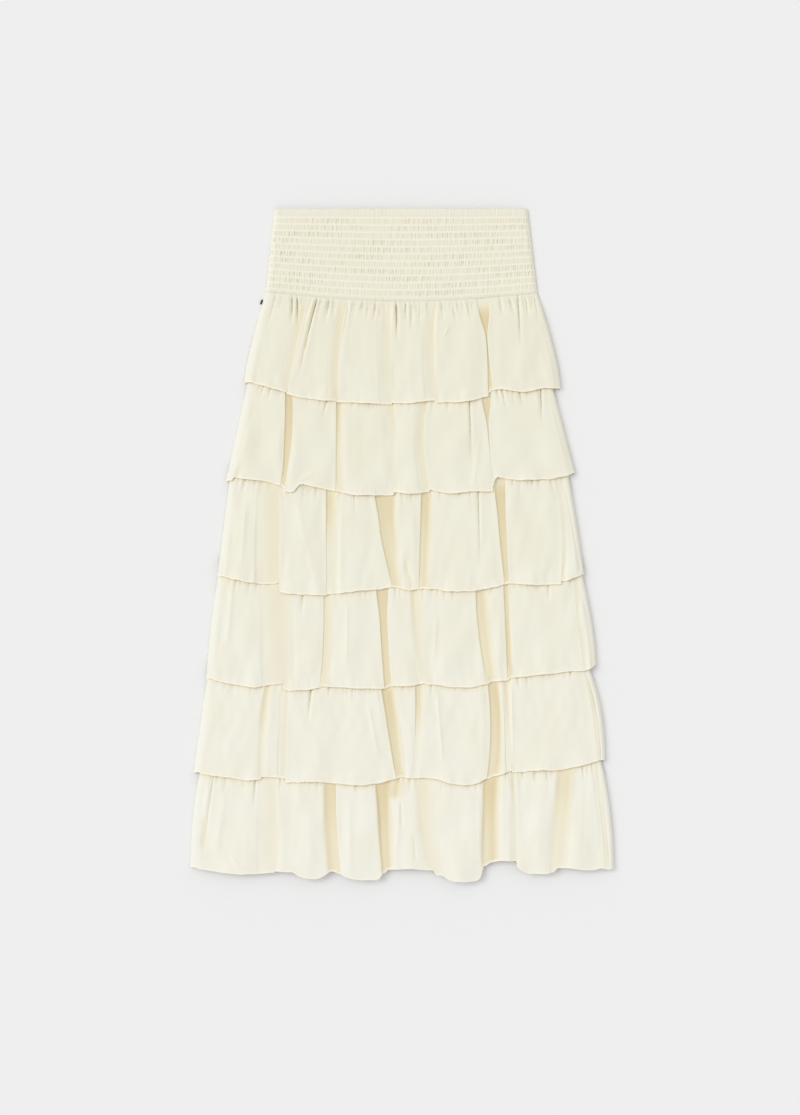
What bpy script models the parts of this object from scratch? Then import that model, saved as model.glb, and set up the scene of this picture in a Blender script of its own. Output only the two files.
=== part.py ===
"""A midi skirt with a wide shirred waistband and six gathered ruffle tiers, laid flat on its back.

Frame: +X to the right across the front, +Y towards the waist, +Z up from the surface it lies on.
The origin is the middle of the skirt's footprint, on that surface.

Sizes are in millimetres until a point is placed. A "drop" is a distance down from the waist edge.
Each ruffle is one strip of cloth whose cross-section follows its folds: level panels, parted by
valleys whose edges either roll off softly or lap over the valley and tuck back under themselves.
The strip's gathered edge is sewn under the ruffle above it, and its hem hangs free over the next.
"""

import math
from collections import namedtuple

import bmesh
import bpy
from mathutils import Vector
from mathutils.bvhtree import BVHTree

MM = 0.001
LENGTH = 860.0  # waist edge to the lowest point of the bottom hem
CLOTH = 1.0  # wall of a ruffle
SEAM_GAP = 0.3  # between pieces that are sewn or lie together
LAY_GAP = 0.45  # between a ruffle and the cloth it lies on
OVERLAP = 22.0  # how far a hem hangs over the seam of the next ruffle

# Folds
TUCK = 4.0  # how far a lapped edge turns back under itself
TUCK_SWING = 0.75  # swing of a lapped edge about its middle, as a share of the tuck
BEND_RADIUS = 0.75  # tightest bend of the wall's middle
SOFT_ROLL = 13.0  # width over which an unlapped edge rolls down into its valley
GATHER_HALF_WIDTH = 3.0
GATHER_APART = 1.3  # least distance between gathers, in their half widths
FLANK_SHARE = 0.42  # most of a panel that one rolled edge may take
SIDE_ROLL = 9.0  # width of the rounded fold at each side of the skirt
PANEL_CROWN = 0.9  # rise of a panel between its folds
LEAST_FOLD = 3.0  # least height of a folded strip over what it lies on
FOLD_EASE = 1.7  # gathers fan out quickly under a seam, then run straight
SAG_POWER = 0.6  # how square the sag of a hem is, towards its sides
PINCHED = 0.45  # share of its depth that a fold has at the gathered seam
OPENED_AT = 0.28  # share of the strip's length where the fold reaches its full depth

# Height of a front ruffle's panels over the surface, from its seam to its hem
CREST_SEAM = 5.6
CREST_HEM = 10.8
LIFTED_AT = 0.8
FLOOR_SEAM = 2.6  # what a ruffle lies on, near enough to size its tucks
FLOOR_HEM = 6.9

# A front strip has rows at these shares of its length. It rests on the next one from REST_SHARE on.
REST_SHARE = 0.84
CLEAR_OF_SEAM = 4.0
FRONT_ROWS = (0.0, 0.12, 0.3, 0.58, REST_SHARE, 1.0)
LAPPED_STEPS = (0.0, 0.22, 0.5, 0.76, 1.0)
SOFT_STEPS = (0.0, 0.4, 1.0)
SIDE_STEPS = (0.0, 0.33, 0.67)
FRONT_SPACING = 26.0  # widest stretch of a panel with no column

# A back strip lies on the surface, but for its seam, which lies over the hem of the strip above
BACK_LIFT = CLOTH + SEAM_GAP
BACK_TROUGH = 1.4
BACK_HEM_RISE = 7.0  # how much shorter the back hem lies, away from the sides
BACK_BELLY = 2.0
BackRow = namedtuple("BackRow", "share lifted trough")
BACK_ROWS = (
    BackRow(0.0, 1, 0),
    BackRow(0.19, 1, 0),
    BackRow(0.3, 0, 0.6),
    BackRow(0.6, 0, 1),
    BackRow(0.82, 0, 0),
    BackRow(1.0, 0, 0),
)
BACK_SPACING = 60.0

# Waistband: rows of elastic thread, with the cloth puffed up between them
BAND_LEFT_TOP, BAND_LEFT_BOTTOM = -163.0, -174.0
BAND_RIGHT_TOP, BAND_RIGHT_BOTTOM = 160.0, 173.0
BAND_LEFT_DROP, BAND_RIGHT_DROP, BAND_SAG = 106.3, 108.3, 11.3
THREADS = 12
FIRST_THREAD, LAST_THREAD = 0.097, 0.951  # shares of the way down the band
BAND_PANELS = 10
BAND_THICK = 1.8
BAND_EDGE_THICK = 1.1
BAND_PUFF = 1.1
BAND_SIDE_TURNS = (0, math.pi / 6, math.pi / 3)
BAND_SIDE_ROLL = 6.0
BAND_RISE = 1.2  # of the front half over the back half, in the middle

# A black tab caught in the left side seam
TAB_OUT, TAB_TALL, TAB_THICK, TAB_EDGE = 2.4, 5.5, 1.2, 0.25
TAB_DROP = 119.0

# ease: 1 for a straight side, and more for one that bulges under its seam
Side = namedtuple("Side", "seam_x hem_x hem_drop ease")
Tier = namedtuple("Tier", "name left right sag first_belly folds gathers")
# over: which panel laps over the valley. depth: 1 reaches what lies below. belly: how much lower
# than its ends the hem hangs in the middle of the panel to the right of this fold.
Fold = namedtuple("Fold", "top hem gap_top gap_hem over depth drop_left drop_right belly")
Gather = namedtuple("Gather", "top hem reach depth")
Point = namedtuple("Point", "x level crown drop")

TIERS = (
    Tier(
        "tier_1",
        Side(seam_x=-174, hem_x=-201.5, hem_drop=224, ease=1.3),
        Side(seam_x=173, hem_x=202.5, hem_drop=231, ease=1.4),
        sag=23,
        first_belly=0,
        folds=(
            #    top  hem   gap  gap   over    depth left right belly
            Fold(-120, -147, 2, 1.5, "right", 0.90, 235, 237, 3),
            Fold(-72, -84, 2, 2, "right", 0.75, 247, 247, 1),
            Fold(-18, -13, 2, 3, "right", 0.45, 250, 250, 1),
            Fold(41, 39, 2, 3, "none", 0.55, 246, 247, 5),
            Fold(101, 112, 13, 6, "both", 1.00, 240, 234, 2),
        ),
        gathers=(
            Gather(-164, -184, 0.25, 0.4),
            Gather(-139, -170, 0.3, 0.7),
            Gather(-105, -127, 0.8, 0.5),
            Gather(-88, -108, 0.2, 0.4),
            Gather(-43, -56, 0.2, 0.4),
            Gather(-3, 8, 0.36, 0.7),
            Gather(22, 24, 0.2, 0.4),
            Gather(66, 72, 0.2, 0.4),
            Gather(148, 156, 0.55, 0.55),
        ),
    ),
    Tier(
        "tier_2",
        Side(seam_x=-193.5, hem_x=-225, hem_drop=349, ease=1.0),
        Side(seam_x=189, hem_x=221, hem_drop=340, ease=1.0),
        sag=22,
        first_belly=-3,
        folds=(
            Fold(-146, -156, 8, 3, "both", 1.00, 354, 357, -1),
            Fold(-82, -83, 4, 2, "left", 0.90, 359, 362, 3),
            Fold(-13, -10, 3, 1, "none", 0.50, 365, 365, 2),
            Fold(31, 36, 2, 2, "right", 0.55, 363, 360, 7),
            Fold(110, 118, 11, 1, "right", 1.00, 357, 346, 4),
        ),
        gathers=(
            Gather(-99, -112, 0.35, 0.4),
            Gather(-40, -44, 0.25, 0.4),
            Gather(86, 89, 0.8, 0.5),
            Gather(168, 176, 0.5, 0.6),
        ),
    ),
    Tier(
        "tier_3",
        Side(seam_x=-218, hem_x=-235, hem_drop=470, ease=1.1),
        Side(seam_x=209, hem_x=232, hem_drop=469, ease=1.2),
        sag=18,
        first_belly=3,
        folds=(
            Fold(-157, -155, 4, 3, "none", 0.50, 480, 490, 3),
            Fold(-95, -97, 4, 2, "left", 0.80, 496, 496, 0),
            Fold(-20, -8, 24, 3, "left", 1.00, 485, 486, 3),
            Fold(30, 24, 12, 7, "left", 0.90, 489, 488, 6),
            Fold(123, 133, 12, 6, "left", 1.00, 482, 481, 2),
            Fold(194, 206, 1, 1, "left", 0.45, 480, 479, 0),
        ),
        gathers=(
            Gather(-196, -219, 0.9, 0.35),
            Gather(-62, -56, 0.3, 0.35),
            Gather(96, 100, 0.8, 0.35),
        ),
    ),
    Tier(
        "tier_4",
        Side(seam_x=-231, hem_x=-249.5, hem_drop=602, ease=1.6),
        Side(seam_x=225, hem_x=248, hem_drop=585, ease=1.6),
        sag=20,
        first_belly=4,
        folds=(
            Fold(-152, -148, 3, 2, "none", 0.40, 611, 617, 0),
            Fold(-100, -104, 3, 2, "left", 0.60, 615, 614, -1),
            Fold(-23, -19, 16, 6, "both", 1.00, 616, 613, 1),
            Fold(14, 28, 2, 3, "none", 0.45, 610, 610, 4),
            Fold(98, 113, 4, 5, "left", 0.80, 610, 606, 0),
            Fold(135, 138, 7, 5, "left", 0.90, 605, 602, 0),
            Fold(212, 231, 2, 2, "left", 0.50, 592, 591, 0),
        ),
        gathers=(
            Gather(-125, -129, 0.35, 0.5),
            Gather(186, 188, 0.3, 0.4),
        ),
    ),
    Tier(
        "tier_5",
        Side(seam_x=-245.5, hem_x=-266.5, hem_drop=723, ease=1.1),
        Side(seam_x=231, hem_x=259.5, hem_drop=708, ease=2.2),
        sag=21,
        first_belly=2,
        folds=(
            Fold(-172, -186, 3, 3, "none", 0.45, 732, 731, 0),
            Fold(-147, -149, 1, 1, "none", 0.30, 729, 735, 5),
            Fold(-18, -2, 12, 7, "left", 1.00, 731, 730, 0),
            Fold(18, 15, 3, 2, "left", 0.60, 730, 731, 8),
            Fold(115, 112, 14, 9, "left", 1.00, 735, 730, 0),
            Fold(136, 141, 2, 1, "none", 0.35, 722, 721, 4),
            Fold(225, 248, 2, 2, "none", 0.40, 710, 709, 0),
        ),
        gathers=(
            Gather(-117, -123, 0.4, 0.45),
            Gather(-66, -70, 0.25, 0.4),
        ),
    ),
    Tier(
        "tier_6",
        Side(seam_x=-255, hem_x=-270.5, hem_drop=841, ease=2.0),
        Side(seam_x=250, hem_x=270.5, hem_drop=844, ease=2.0),
        sag=11,
        first_belly=5,
        folds=(
            Fold(-163, -143, 4, 5, "none", 0.25, 846, 848, 6),
            Fold(-94, -86, 13, 12, "left", 0.90, 853, 850, 8),
            Fold(-25, -19, 17, 11, "left", 1.00, 851, 845, -1),
            Fold(17, 35, 6, 8, "none", 0.45, 843, 846, 10.3),
            Fold(115, 111, 16, 14, "left", 1.00, 853, 836, -1),
            Fold(142, 149, 2, 1, "right", 0.55, 835, 844, 5),
            Fold(206, 198, 9, 9, "left", 0.85, 847, 843, 0),
            Fold(241, 260, 1, 1, "left", 0.45, 845, 843, -1),
        ),
        gathers=(
            Gather(-238, -254, 0.95, 0.3),
            Gather(-187, -190, 0.35, 0.45),
        ),
    ),
)

# Places about a point, right of it and down from it, where the cloth below is felt for
PROBES = ((0, 0), (2.5, 0), (-2.5, 0), (0, 2.5), (0, -2.5), (0, 6))
PROBE_HEIGHT = 100.0

CREAM = (0.87, 0.83, 0.70, 1.0)
BLACK = (0.02, 0.02, 0.02, 1.0)
ROUGHNESS = 0.55


def mix(a, b, share):
    return a + (b - a) * share


def smooth(share):
    share = min(max(share, 0.0), 1.0)
    return share * share * (3 - 2 * share)


def arch(share):
    return math.sin(math.pi * min(max(share, 0.0), 1.0))


def placed(x, drop, z):
    """A point in the object's frame, in metres, from garment measures in millimetres."""
    return Vector((x, LENGTH / 2 - drop, z)) * MM


# Lines across the skirt


def band_bottom(x):
    across = (x - BAND_LEFT_BOTTOM) / (BAND_RIGHT_BOTTOM - BAND_LEFT_BOTTOM)
    return mix(BAND_LEFT_DROP, BAND_RIGHT_DROP, across) + BAND_SAG * arch(across)


def hem_line(tier, x):
    """The drop of a tier's hem, smoothed over its folds."""
    across = (x - tier.left.hem_x) / (tier.right.hem_x - tier.left.hem_x)
    return mix(tier.left.hem_drop, tier.right.hem_drop, across) + tier.sag * arch(across) ** SAG_POWER


def seam_line(number, x):
    """The drop of the seam that a tier is gathered on."""
    if number == 0:
        return band_bottom(x) + SEAM_GAP
    return hem_line(TIERS[number - 1], x) - OVERLAP


def front_drop(number, share, x, hem_drop):
    """The drop of a point on a front strip, with its row at REST_SHARE just above the next seam."""
    seam = seam_line(number, x)
    if number + 1 == len(TIERS):
        return mix(seam, hem_drop, share)
    rest = seam_line(number + 1, x) - CLEAR_OF_SEAM
    if share <= REST_SHARE:
        return mix(seam, rest, share / REST_SHARE)
    return mix(rest, hem_drop, (share - REST_SHARE) / (1 - REST_SHARE))


# The cross-section of a strip


def side_x(side, share):
    return mix(side.seam_x, side.hem_x, 1 - (1 - share) ** side.ease)


def eased(share):
    return 1 - (1 - share) ** FOLD_EASE


def valley_edges(fold, share):
    """The two visible edges of a fold's valley, at a share of the way from seam to hem."""
    centre = mix(fold.top, fold.hem, eased(share))
    gap = mix(fold.gap_hem, fold.gap_top, (1 - share) ** 2)
    return centre - gap / 2, centre + gap / 2


def fold_height(share, rests):
    """The height of a full fold, which is less where the strip rests on the next one."""
    crest = mix(CREST_SEAM, CREST_HEM, smooth(share / LIFTED_AT))
    return crest - (FLOOR_HEM if rests and share >= REST_SHARE else FLOOR_SEAM)


def flank(step, lapped, width, height):
    """One side of a valley, from its panel (step 0) to its floor (step 1).

    Returns the distance from the visible edge back into the panel, and the level from 1 to 0.
    A lapped side swings out to the edge, back under the panel and out again to the floor, as far
    as the wall can bend in that height.
    """
    level = 1 - smooth(step)
    if not lapped:
        return width * (1 - step), level
    steepest = 1.125 * height
    swing = min(TUCK_SWING * width, steepest**2 / (4 * math.pi**2 * BEND_RADIUS))
    return width * (1 - step) - swing * math.sin(2 * math.pi * step), level


class Strip:
    """A tier's cross-section at one share of the way from seam to hem, column by column.

    Every share gives the same number of columns. A point's level is 1 on a panel and 0 on the
    cloth below, and its drop is that of the hem below it.
    """

    def __init__(self, tier, share, steps, spacing, rests):
        self.tier = tier
        self.share = share
        self.lapped_steps, self.soft_steps, self.side_steps = steps
        self.spacing = spacing
        self.height = fold_height(share, rests)
        self.starts, self.ends = self.panel_edges(share)
        self.hem_starts, self.hem_ends = self.panel_edges(1.0)
        folds = tier.folds
        self.start_drops = [tier.left.hem_drop] + [fold.drop_right for fold in folds]
        self.end_drops = [fold.drop_left for fold in folds] + [tier.right.hem_drop]
        self.bellies = [tier.first_belly] + [fold.belly for fold in folds]

    def panel_edges(self, share):
        valleys = [valley_edges(fold, share) for fold in self.tier.folds]
        starts = [side_x(self.tier.left, share)] + [right for _, right in valleys]
        ends = [left for left, _ in valleys] + [side_x(self.tier.right, share)]
        return starts, ends

    def lapped(self, panel, at_start):
        """Whether a panel's edge laps over the valley beside it. None at the skirt's sides."""
        if panel == 0 and at_start or panel == len(self.tier.folds) and not at_start:
            return None
        over = self.tier.folds[panel - 1 if at_start else panel].over
        return over in ("both", "right" if at_start else "left")

    def flank_width(self, panel, at_start):
        widths = {None: SIDE_ROLL, True: TUCK, False: SOFT_ROLL}
        wanted = widths[self.lapped(panel, at_start)]
        return min(wanted, FLANK_SHARE * (self.ends[panel] - self.starts[panel]))

    def points(self):
        last = len(self.tier.folds)
        found = self.side_points(self.starts[0], self.flank_width(0, True), self.tier.left)
        for panel in range(last + 1):
            found += self.panel_points(panel)
            if panel < last:
                found += self.fold_points(panel)
        right = self.side_points(self.ends[last], -self.flank_width(last, False), self.tier.right)
        end = self.ends[last] - self.flank_width(last, False)
        return found + [Point(end, 1.0, 0.0, self.tier.right.hem_drop)] + right[::-1]

    def side_points(self, edge, roll, side):
        turns = [step * math.pi / 2 for step in self.side_steps]
        return [
            Point(edge + roll * (1 - math.cos(turn)), math.sin(turn), 0.0, side.hem_drop)
            for turn in turns
        ]

    def panel_points(self, panel):
        first = self.starts[panel] + self.flank_width(panel, True)
        final = self.ends[panel] - self.flank_width(panel, False)
        stops = [(first, 1.0)]
        for gather in self.tier.gathers:
            if self.hem_starts[panel] < gather.hem < self.hem_ends[panel]:
                half = min(GATHER_HALF_WIDTH, (final - first) / 8)
                apart = GATHER_APART * half
                x = mix(gather.top, gather.hem, eased(self.share))
                x = min(max(x, stops[-1][0] + apart), final - apart)
                dent = gather.depth * (1 - smooth(self.share / gather.reach))
                stops += [(x - half, 1.0), (x, 1.0 - dent), (x + half, 1.0)]
        stops.append((final, 1.0))
        level_stretches = (len(stops) + 1) // 3
        hem_width = self.hem_ends[panel] - self.hem_starts[panel]
        parts = max(1, round(hem_width / self.spacing / level_stretches))
        found = []
        for number, (stop, following) in enumerate(zip(stops, stops[1:])):
            for part in range(parts if number % 3 == 0 else 1):
                x, level = (mix(a, b, part / parts) for a, b in zip(stop, following))
                across = (x - self.starts[panel]) / (self.ends[panel] - self.starts[panel])
                drop = mix(self.start_drops[panel], self.end_drops[panel], across)
                drop += self.bellies[panel] * arch(across)
                found.append(Point(x, level, arch(across) * self.share, drop))
        return found

    def fold_points(self, number):
        """The columns of one fold, from the panel on its left to just short of the next."""
        fold = self.tier.folds[number]
        depth = fold.depth * mix(PINCHED, 1.0, smooth(self.share / OPENED_AT))
        sides = (
            (number, False, self.ends[number], -1),
            (number + 1, True, self.starts[number + 1], 1),
        )
        columns = []
        for panel, at_start, edge, way in sides:
            lapped = self.lapped(panel, at_start)
            width = self.flank_width(panel, at_start)
            flanks = [
                flank(step, lapped, width, depth * self.height)
                for step in (self.lapped_steps if lapped else self.soft_steps)
            ]
            flanks = flanks[::-1] if at_start else flanks
            columns += [(edge + way * back, 1 - depth * (1 - level)) for back, level in flanks]
        count = len(columns) - 1
        return [
            Point(x, level, 0.0, mix(fold.drop_left, fold.drop_right, place / count))
            for place, (x, level) in enumerate(columns[:-1])
        ]


def turned_round(tier):
    """The back of a tier: the front's folds seen from behind, between the same side seams."""
    swap = {"left": "right", "right": "left", "both": "both", "none": "none"}
    left, right = tier.left, tier.right

    def back_drop(x):
        across = (x - left.hem_x) / (right.hem_x - left.hem_x)
        return hem_line(tier, x) - BACK_HEM_RISE * arch(across) ** 0.5

    folds = [
        fold._replace(
            top=-fold.top,
            hem=-fold.hem,
            over=swap[fold.over],
            drop_left=back_drop(-fold.hem),
            drop_right=back_drop(-fold.hem),
            belly=BACK_BELLY,
        )
        for fold in reversed(tier.folds)
    ]
    return tier._replace(folds=tuple(folds), first_belly=BACK_BELLY, gathers=())


# Solids


class Pile:
    """The cloth laid down so far, asked for its height."""

    def __init__(self):
        self.trees = []

    def add(self, sheet):
        self.trees.append(BVHTree.FromObject(sheet, bpy.context.evaluated_depsgraph_get()))

    def top(self, x, drop):
        """The highest cloth about a point, in millimetres, or 0 on the bare surface."""
        highest = 0.0
        for right, down in PROBES:
            start = placed(x + right, drop + down, PROBE_HEIGHT)
            for tree in self.trees:
                hit = tree.ray_cast(start, Vector((0, 0, -1)))[0]
                if hit is not None:
                    highest = max(highest, hit.z / MM)
        return highest


def fabric(name, colour):
    material = bpy.data.materials.new(name)
    material.use_nodes = True
    shader = material.node_tree.nodes["Principled BSDF"]
    shader.inputs["Base Color"].default_value = colour
    shader.inputs["Roughness"].default_value = ROUGHNESS
    shader.inputs["Metallic"].default_value = 0.0
    return material


def add_object(name, mesh, colour):
    data = bpy.data.meshes.new(name)
    mesh.to_mesh(data)
    mesh.free()
    data.materials.append(fabric(name + "_cloth", colour))
    data.shade_smooth()
    made = bpy.data.objects.new(name, data)
    bpy.context.scene.collection.objects.link(made)
    return made


def grid_of(rows):
    """A grid through a table of points, whose rows run from the waist down."""
    mesh = bmesh.new()
    bmesh.ops.create_grid(mesh, x_segments=len(rows[0]) - 1, y_segments=len(rows) - 1, size=1)
    points = [point for row in reversed(rows) for point in row]
    for vertex, point in zip(mesh.verts, points, strict=True):
        vertex.co = point
    return mesh


def ruffle_sheet(name, rows, offset):
    """A strip of cloth. offset 1 builds its wall up from the points, 0 to both sides of them."""
    sheet = add_object(name, grid_of(rows), CREAM)
    wall = sheet.modifiers.new("wall", "SOLIDIFY")
    wall.thickness = CLOTH * MM
    wall.offset = offset
    wall.use_even_offset = True
    return sheet


def back_ruffle(number):
    tier = turned_round(TIERS[number])
    lift = BACK_LIFT if number > 0 else 0.0
    ends = (0.0, 1.0)
    rows = []
    for row in BACK_ROWS:
        strip = Strip(tier, row.share, (ends, ends, (0.0,)), BACK_SPACING, rests=False)
        points = strip.points()
        sides = (points[0], points[-1])
        cells = []
        for point in points:
            drop = mix(seam_line(number, point.x), point.drop, row.share)
            trough = 0.0 if point in sides else row.trough * BACK_TROUGH * (1 - point.level)
            cells.append(placed(point.x, drop, row.lifted * lift + trough))
        rows.append(cells)
    return ruffle_sheet(tier.name + "_back", rows, 1.0)


def front_ruffle(number, pile):
    tier = TIERS[number]
    rests = number + 1 < len(TIERS)
    steps = (LAPPED_STEPS, SOFT_STEPS, SIDE_STEPS)
    rows = []
    for share in FRONT_ROWS:
        crest = mix(CREST_SEAM, CREST_HEM, smooth(share / LIFTED_AT))
        cells = []
        for point in Strip(tier, share, steps, FRONT_SPACING, rests).points():
            drop = front_drop(number, share, point.x, point.drop)
            floor = pile.top(point.x, drop) + LAY_GAP + CLOTH / 2
            top = max(crest, floor + LEAST_FOLD)
            z = mix(floor, top, point.level) + PANEL_CROWN * point.crown
            cells.append(placed(point.x, drop, z))
        rows.append(cells)
    return ruffle_sheet(tier.name + "_front", rows, 0.0)


def slab(name, inner, outer):
    """A closed body between two tables of points of the same size."""
    mesh = grid_of(inner)
    place = mesh.verts.layers.int.new("place")
    for number, vertex in enumerate(mesh.verts):
        vertex[place] = number
    points = [point for row in reversed(outer) for point in row]
    for item in bmesh.ops.extrude_face_region(mesh, geom=mesh.faces[:])["geom"]:
        if isinstance(item, bmesh.types.BMVert):
            item.co = points[item[place]]
    mesh.verts.layers.int.remove(place)
    bmesh.ops.recalc_face_normals(mesh, faces=mesh.faces)
    return add_object(name, mesh, CREAM)


def band_columns():
    """Across the band: the share of the way, and how far its rounded sides have risen."""
    width = BAND_RIGHT_BOTTOM - BAND_LEFT_BOTTOM
    sides = [
        (BAND_SIDE_ROLL * (1 - math.cos(turn)) / width, math.sin(turn))
        for turn in BAND_SIDE_TURNS
    ]
    inner = BAND_SIDE_ROLL / width
    middle = [(mix(inner, 1 - inner, step / BAND_PANELS), 1.0) for step in range(BAND_PANELS + 1)]
    return sides + middle + [(1 - share, risen) for share, risen in reversed(sides)]


def band_rows():
    """Down the band: the share of the way, and how far the cloth puffs up there."""
    pitch = (LAST_THREAD - FIRST_THREAD) / (THREADS - 1)
    rows = [(0.0, 0.3), (FIRST_THREAD / 2, 0.9)]
    for thread in range(THREADS):
        rows.append((FIRST_THREAD + pitch * thread, 0.0))
        rows.append((FIRST_THREAD + pitch * (thread + 0.5), 1.0))
    rows[-1] = (mix(LAST_THREAD, 1.0, 0.5), 0.7)
    return rows + [(1.0, 0.1)]


def band_point(share, down, z):
    left = mix(BAND_LEFT_TOP, BAND_LEFT_BOTTOM, down)
    right = mix(BAND_RIGHT_TOP, BAND_RIGHT_BOTTOM, down)
    bottom = band_bottom(mix(BAND_LEFT_BOTTOM, BAND_RIGHT_BOTTOM, share))
    return placed(mix(left, right, share), down * bottom, z)


def waistband_front(pile_top):
    inner, outer = [], []
    for down, puff in band_rows():
        inner.append([])
        outer.append([])
        for share, risen in band_columns():
            lowest = pile_top + SEAM_GAP + BAND_RISE * arch(share) ** 0.5
            thick = mix(BAND_EDGE_THICK, BAND_THICK, risen) + BAND_PUFF * puff * risen
            inner[-1].append(band_point(share, down, lowest))
            outer[-1].append(band_point(share, down, lowest + thick))
    return slab("waistband_front", inner, outer)


def waistband_back():
    columns = [step / BAND_PANELS for step in range(BAND_PANELS + 1)]
    rows = (0.0, 0.5, 1.0)
    inner = [[band_point(share, down, 0.0) for share in columns] for down in rows]
    outer = [[band_point(share, down, BAND_THICK) for share in columns] for down in rows]
    return slab("waistband_back", inner, outer)


def side_tab():
    """The tip of a folded label, flush against the left side seam."""
    mesh = bmesh.new()
    bmesh.ops.create_cube(mesh, size=1)
    bmesh.ops.scale(mesh, verts=mesh.verts, vec=(TAB_OUT * MM, TAB_TALL * MM, TAB_THICK * MM))
    share = (TAB_DROP - seam_line(0, BAND_LEFT_BOTTOM)) / (TIERS[0].left.hem_drop - TAB_DROP)
    x = side_x(TIERS[0].left, share) - SEAM_GAP - TAB_OUT / 2
    bmesh.ops.translate(mesh, verts=mesh.verts, vec=placed(x, TAB_DROP, SEAM_GAP + TAB_THICK / 2))
    bmesh.ops.bevel(
        mesh,
        geom=mesh.edges[:],
        offset=TAB_EDGE * MM,
        offset_type="OFFSET",
        segments=1,
        profile=0.5,
        affect="EDGES",
        material=-1,
    )
    return add_object("side_tab", mesh, BLACK)


def build():
    for old in list(bpy.data.objects):
        bpy.data.objects.remove(old)
    pile = Pile()
    for number in range(len(TIERS)):
        pile.add(back_ruffle(number))
    for number in reversed(range(len(TIERS))):
        pile.add(front_ruffle(number, pile))
    waistband_back()
    waistband_front(BAND_THICK)
    side_tab()


build()
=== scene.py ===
# %% [markdown]
# # A tiered ruffle skirt, laid flat
# This lesson dresses a plain, rigid model of a skirt in thin cloth. The real skirt is a tube of
# satin-backed crepe: a wide waistband gathered on rows of elastic thread, and six strips, each
# gathered along its top and hemmed along its bottom. It lies on its back on a pale surface, so
# what shows is level panels of cloth with folds pressed between them.
#
# Sizes are in millimetres until a point is placed. A "drop" is a distance down from the waist
# edge, and a "share" runs from 0 at a strip's gathered seam to 1 at its hem.

# %% Load the frame
import math
from collections import namedtuple

import bmesh
import bpy
import numpy as np
from mathutils import Matrix, Vector


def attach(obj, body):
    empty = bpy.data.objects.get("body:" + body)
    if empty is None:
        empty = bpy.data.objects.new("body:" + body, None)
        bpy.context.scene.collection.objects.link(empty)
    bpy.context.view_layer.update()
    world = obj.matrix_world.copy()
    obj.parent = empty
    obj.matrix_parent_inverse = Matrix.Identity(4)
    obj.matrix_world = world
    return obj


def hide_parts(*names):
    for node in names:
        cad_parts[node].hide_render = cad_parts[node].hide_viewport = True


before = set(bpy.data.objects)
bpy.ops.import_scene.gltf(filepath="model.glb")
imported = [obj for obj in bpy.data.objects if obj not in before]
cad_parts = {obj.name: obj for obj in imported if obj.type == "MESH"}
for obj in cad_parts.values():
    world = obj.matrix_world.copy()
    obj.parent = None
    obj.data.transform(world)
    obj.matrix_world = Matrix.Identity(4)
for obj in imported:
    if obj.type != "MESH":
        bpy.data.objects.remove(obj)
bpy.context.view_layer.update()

# %% [markdown]
# ## Small tools
# Four curves do most of the shaping: a straight mix, a smooth step, an arch and a trough. Each
# takes a number or a whole numpy array, because a sheet is shaped as one table of points.

# %% Curves
MM = 0.001
LENGTH = 860.0  # waist edge to the lowest point of the bottom hem
TROUGH_POWER = 1.4


def mix(a, b, share):
    return a + (b - a) * share


def smooth(share):
    share = np.clip(share, 0.0, 1.0)
    return share * share * (3 - 2 * share)


def arch(share):
    return np.sin(np.pi * np.clip(share, 0.0, 1.0))


def trough(distance, width):
    return np.exp(-np.abs(distance / width) ** TROUGH_POWER)


def linear(hex_colour):
    """An sRGB hex colour as the linear RGBA that a shader wants."""
    channels = [int(hex_colour[place : place + 2], 16) / 255 for place in (1, 3, 5)]
    return tuple(
        value / 12.92 if value <= 0.04045 else ((value + 0.055) / 1.055) ** 2.4
        for value in channels
    ) + (1.0,)


# %% [markdown]
# ## The cut
# Each strip keeps the sizes of its solid: where its sides run, and a table with a row for each
# fold. A fold is a valley between two level panels. It has an x at the seam and at the hem, a
# bow sideways between them, and a width at the seam, midway and at the hem. Its left and right
# sides roll off over some millimetres, or lap over the valley where that number is 0. Depth and
# foot say how deep it is in its upper part and at its hem, against the deepest valley. A lean of
# 0 puts the deepest painted shade at its left side and 1 puts it at its right side.
#
# The hem table gives points along the bottom edge. Gathers are pressed in at the seam and fade
# out at their reach. Creases and ridges lie where the cloth was last bent.

# %% Tables of folds
LAP = 0  # in place of a roll: this side laps over its valley
Side = namedtuple("Side", "seam_x hem_x hem_drop ease")
Tier = namedtuple("Tier", "name left right sag folds gathers creases hem")
Fold = namedtuple(
    "Fold", "top bow hem gap_top gap_mid gap_hem left right depth foot lean", defaults=(0.0,)
)
Gather = namedtuple("Gather", "top hem reach depth")
Crease = namedtuple("Crease", "start_x end_x start end width height")


def rows(kind, *values):
    """A table whose columns are the fields of this kind of row."""
    return tuple(kind(*row) for row in values)


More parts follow.
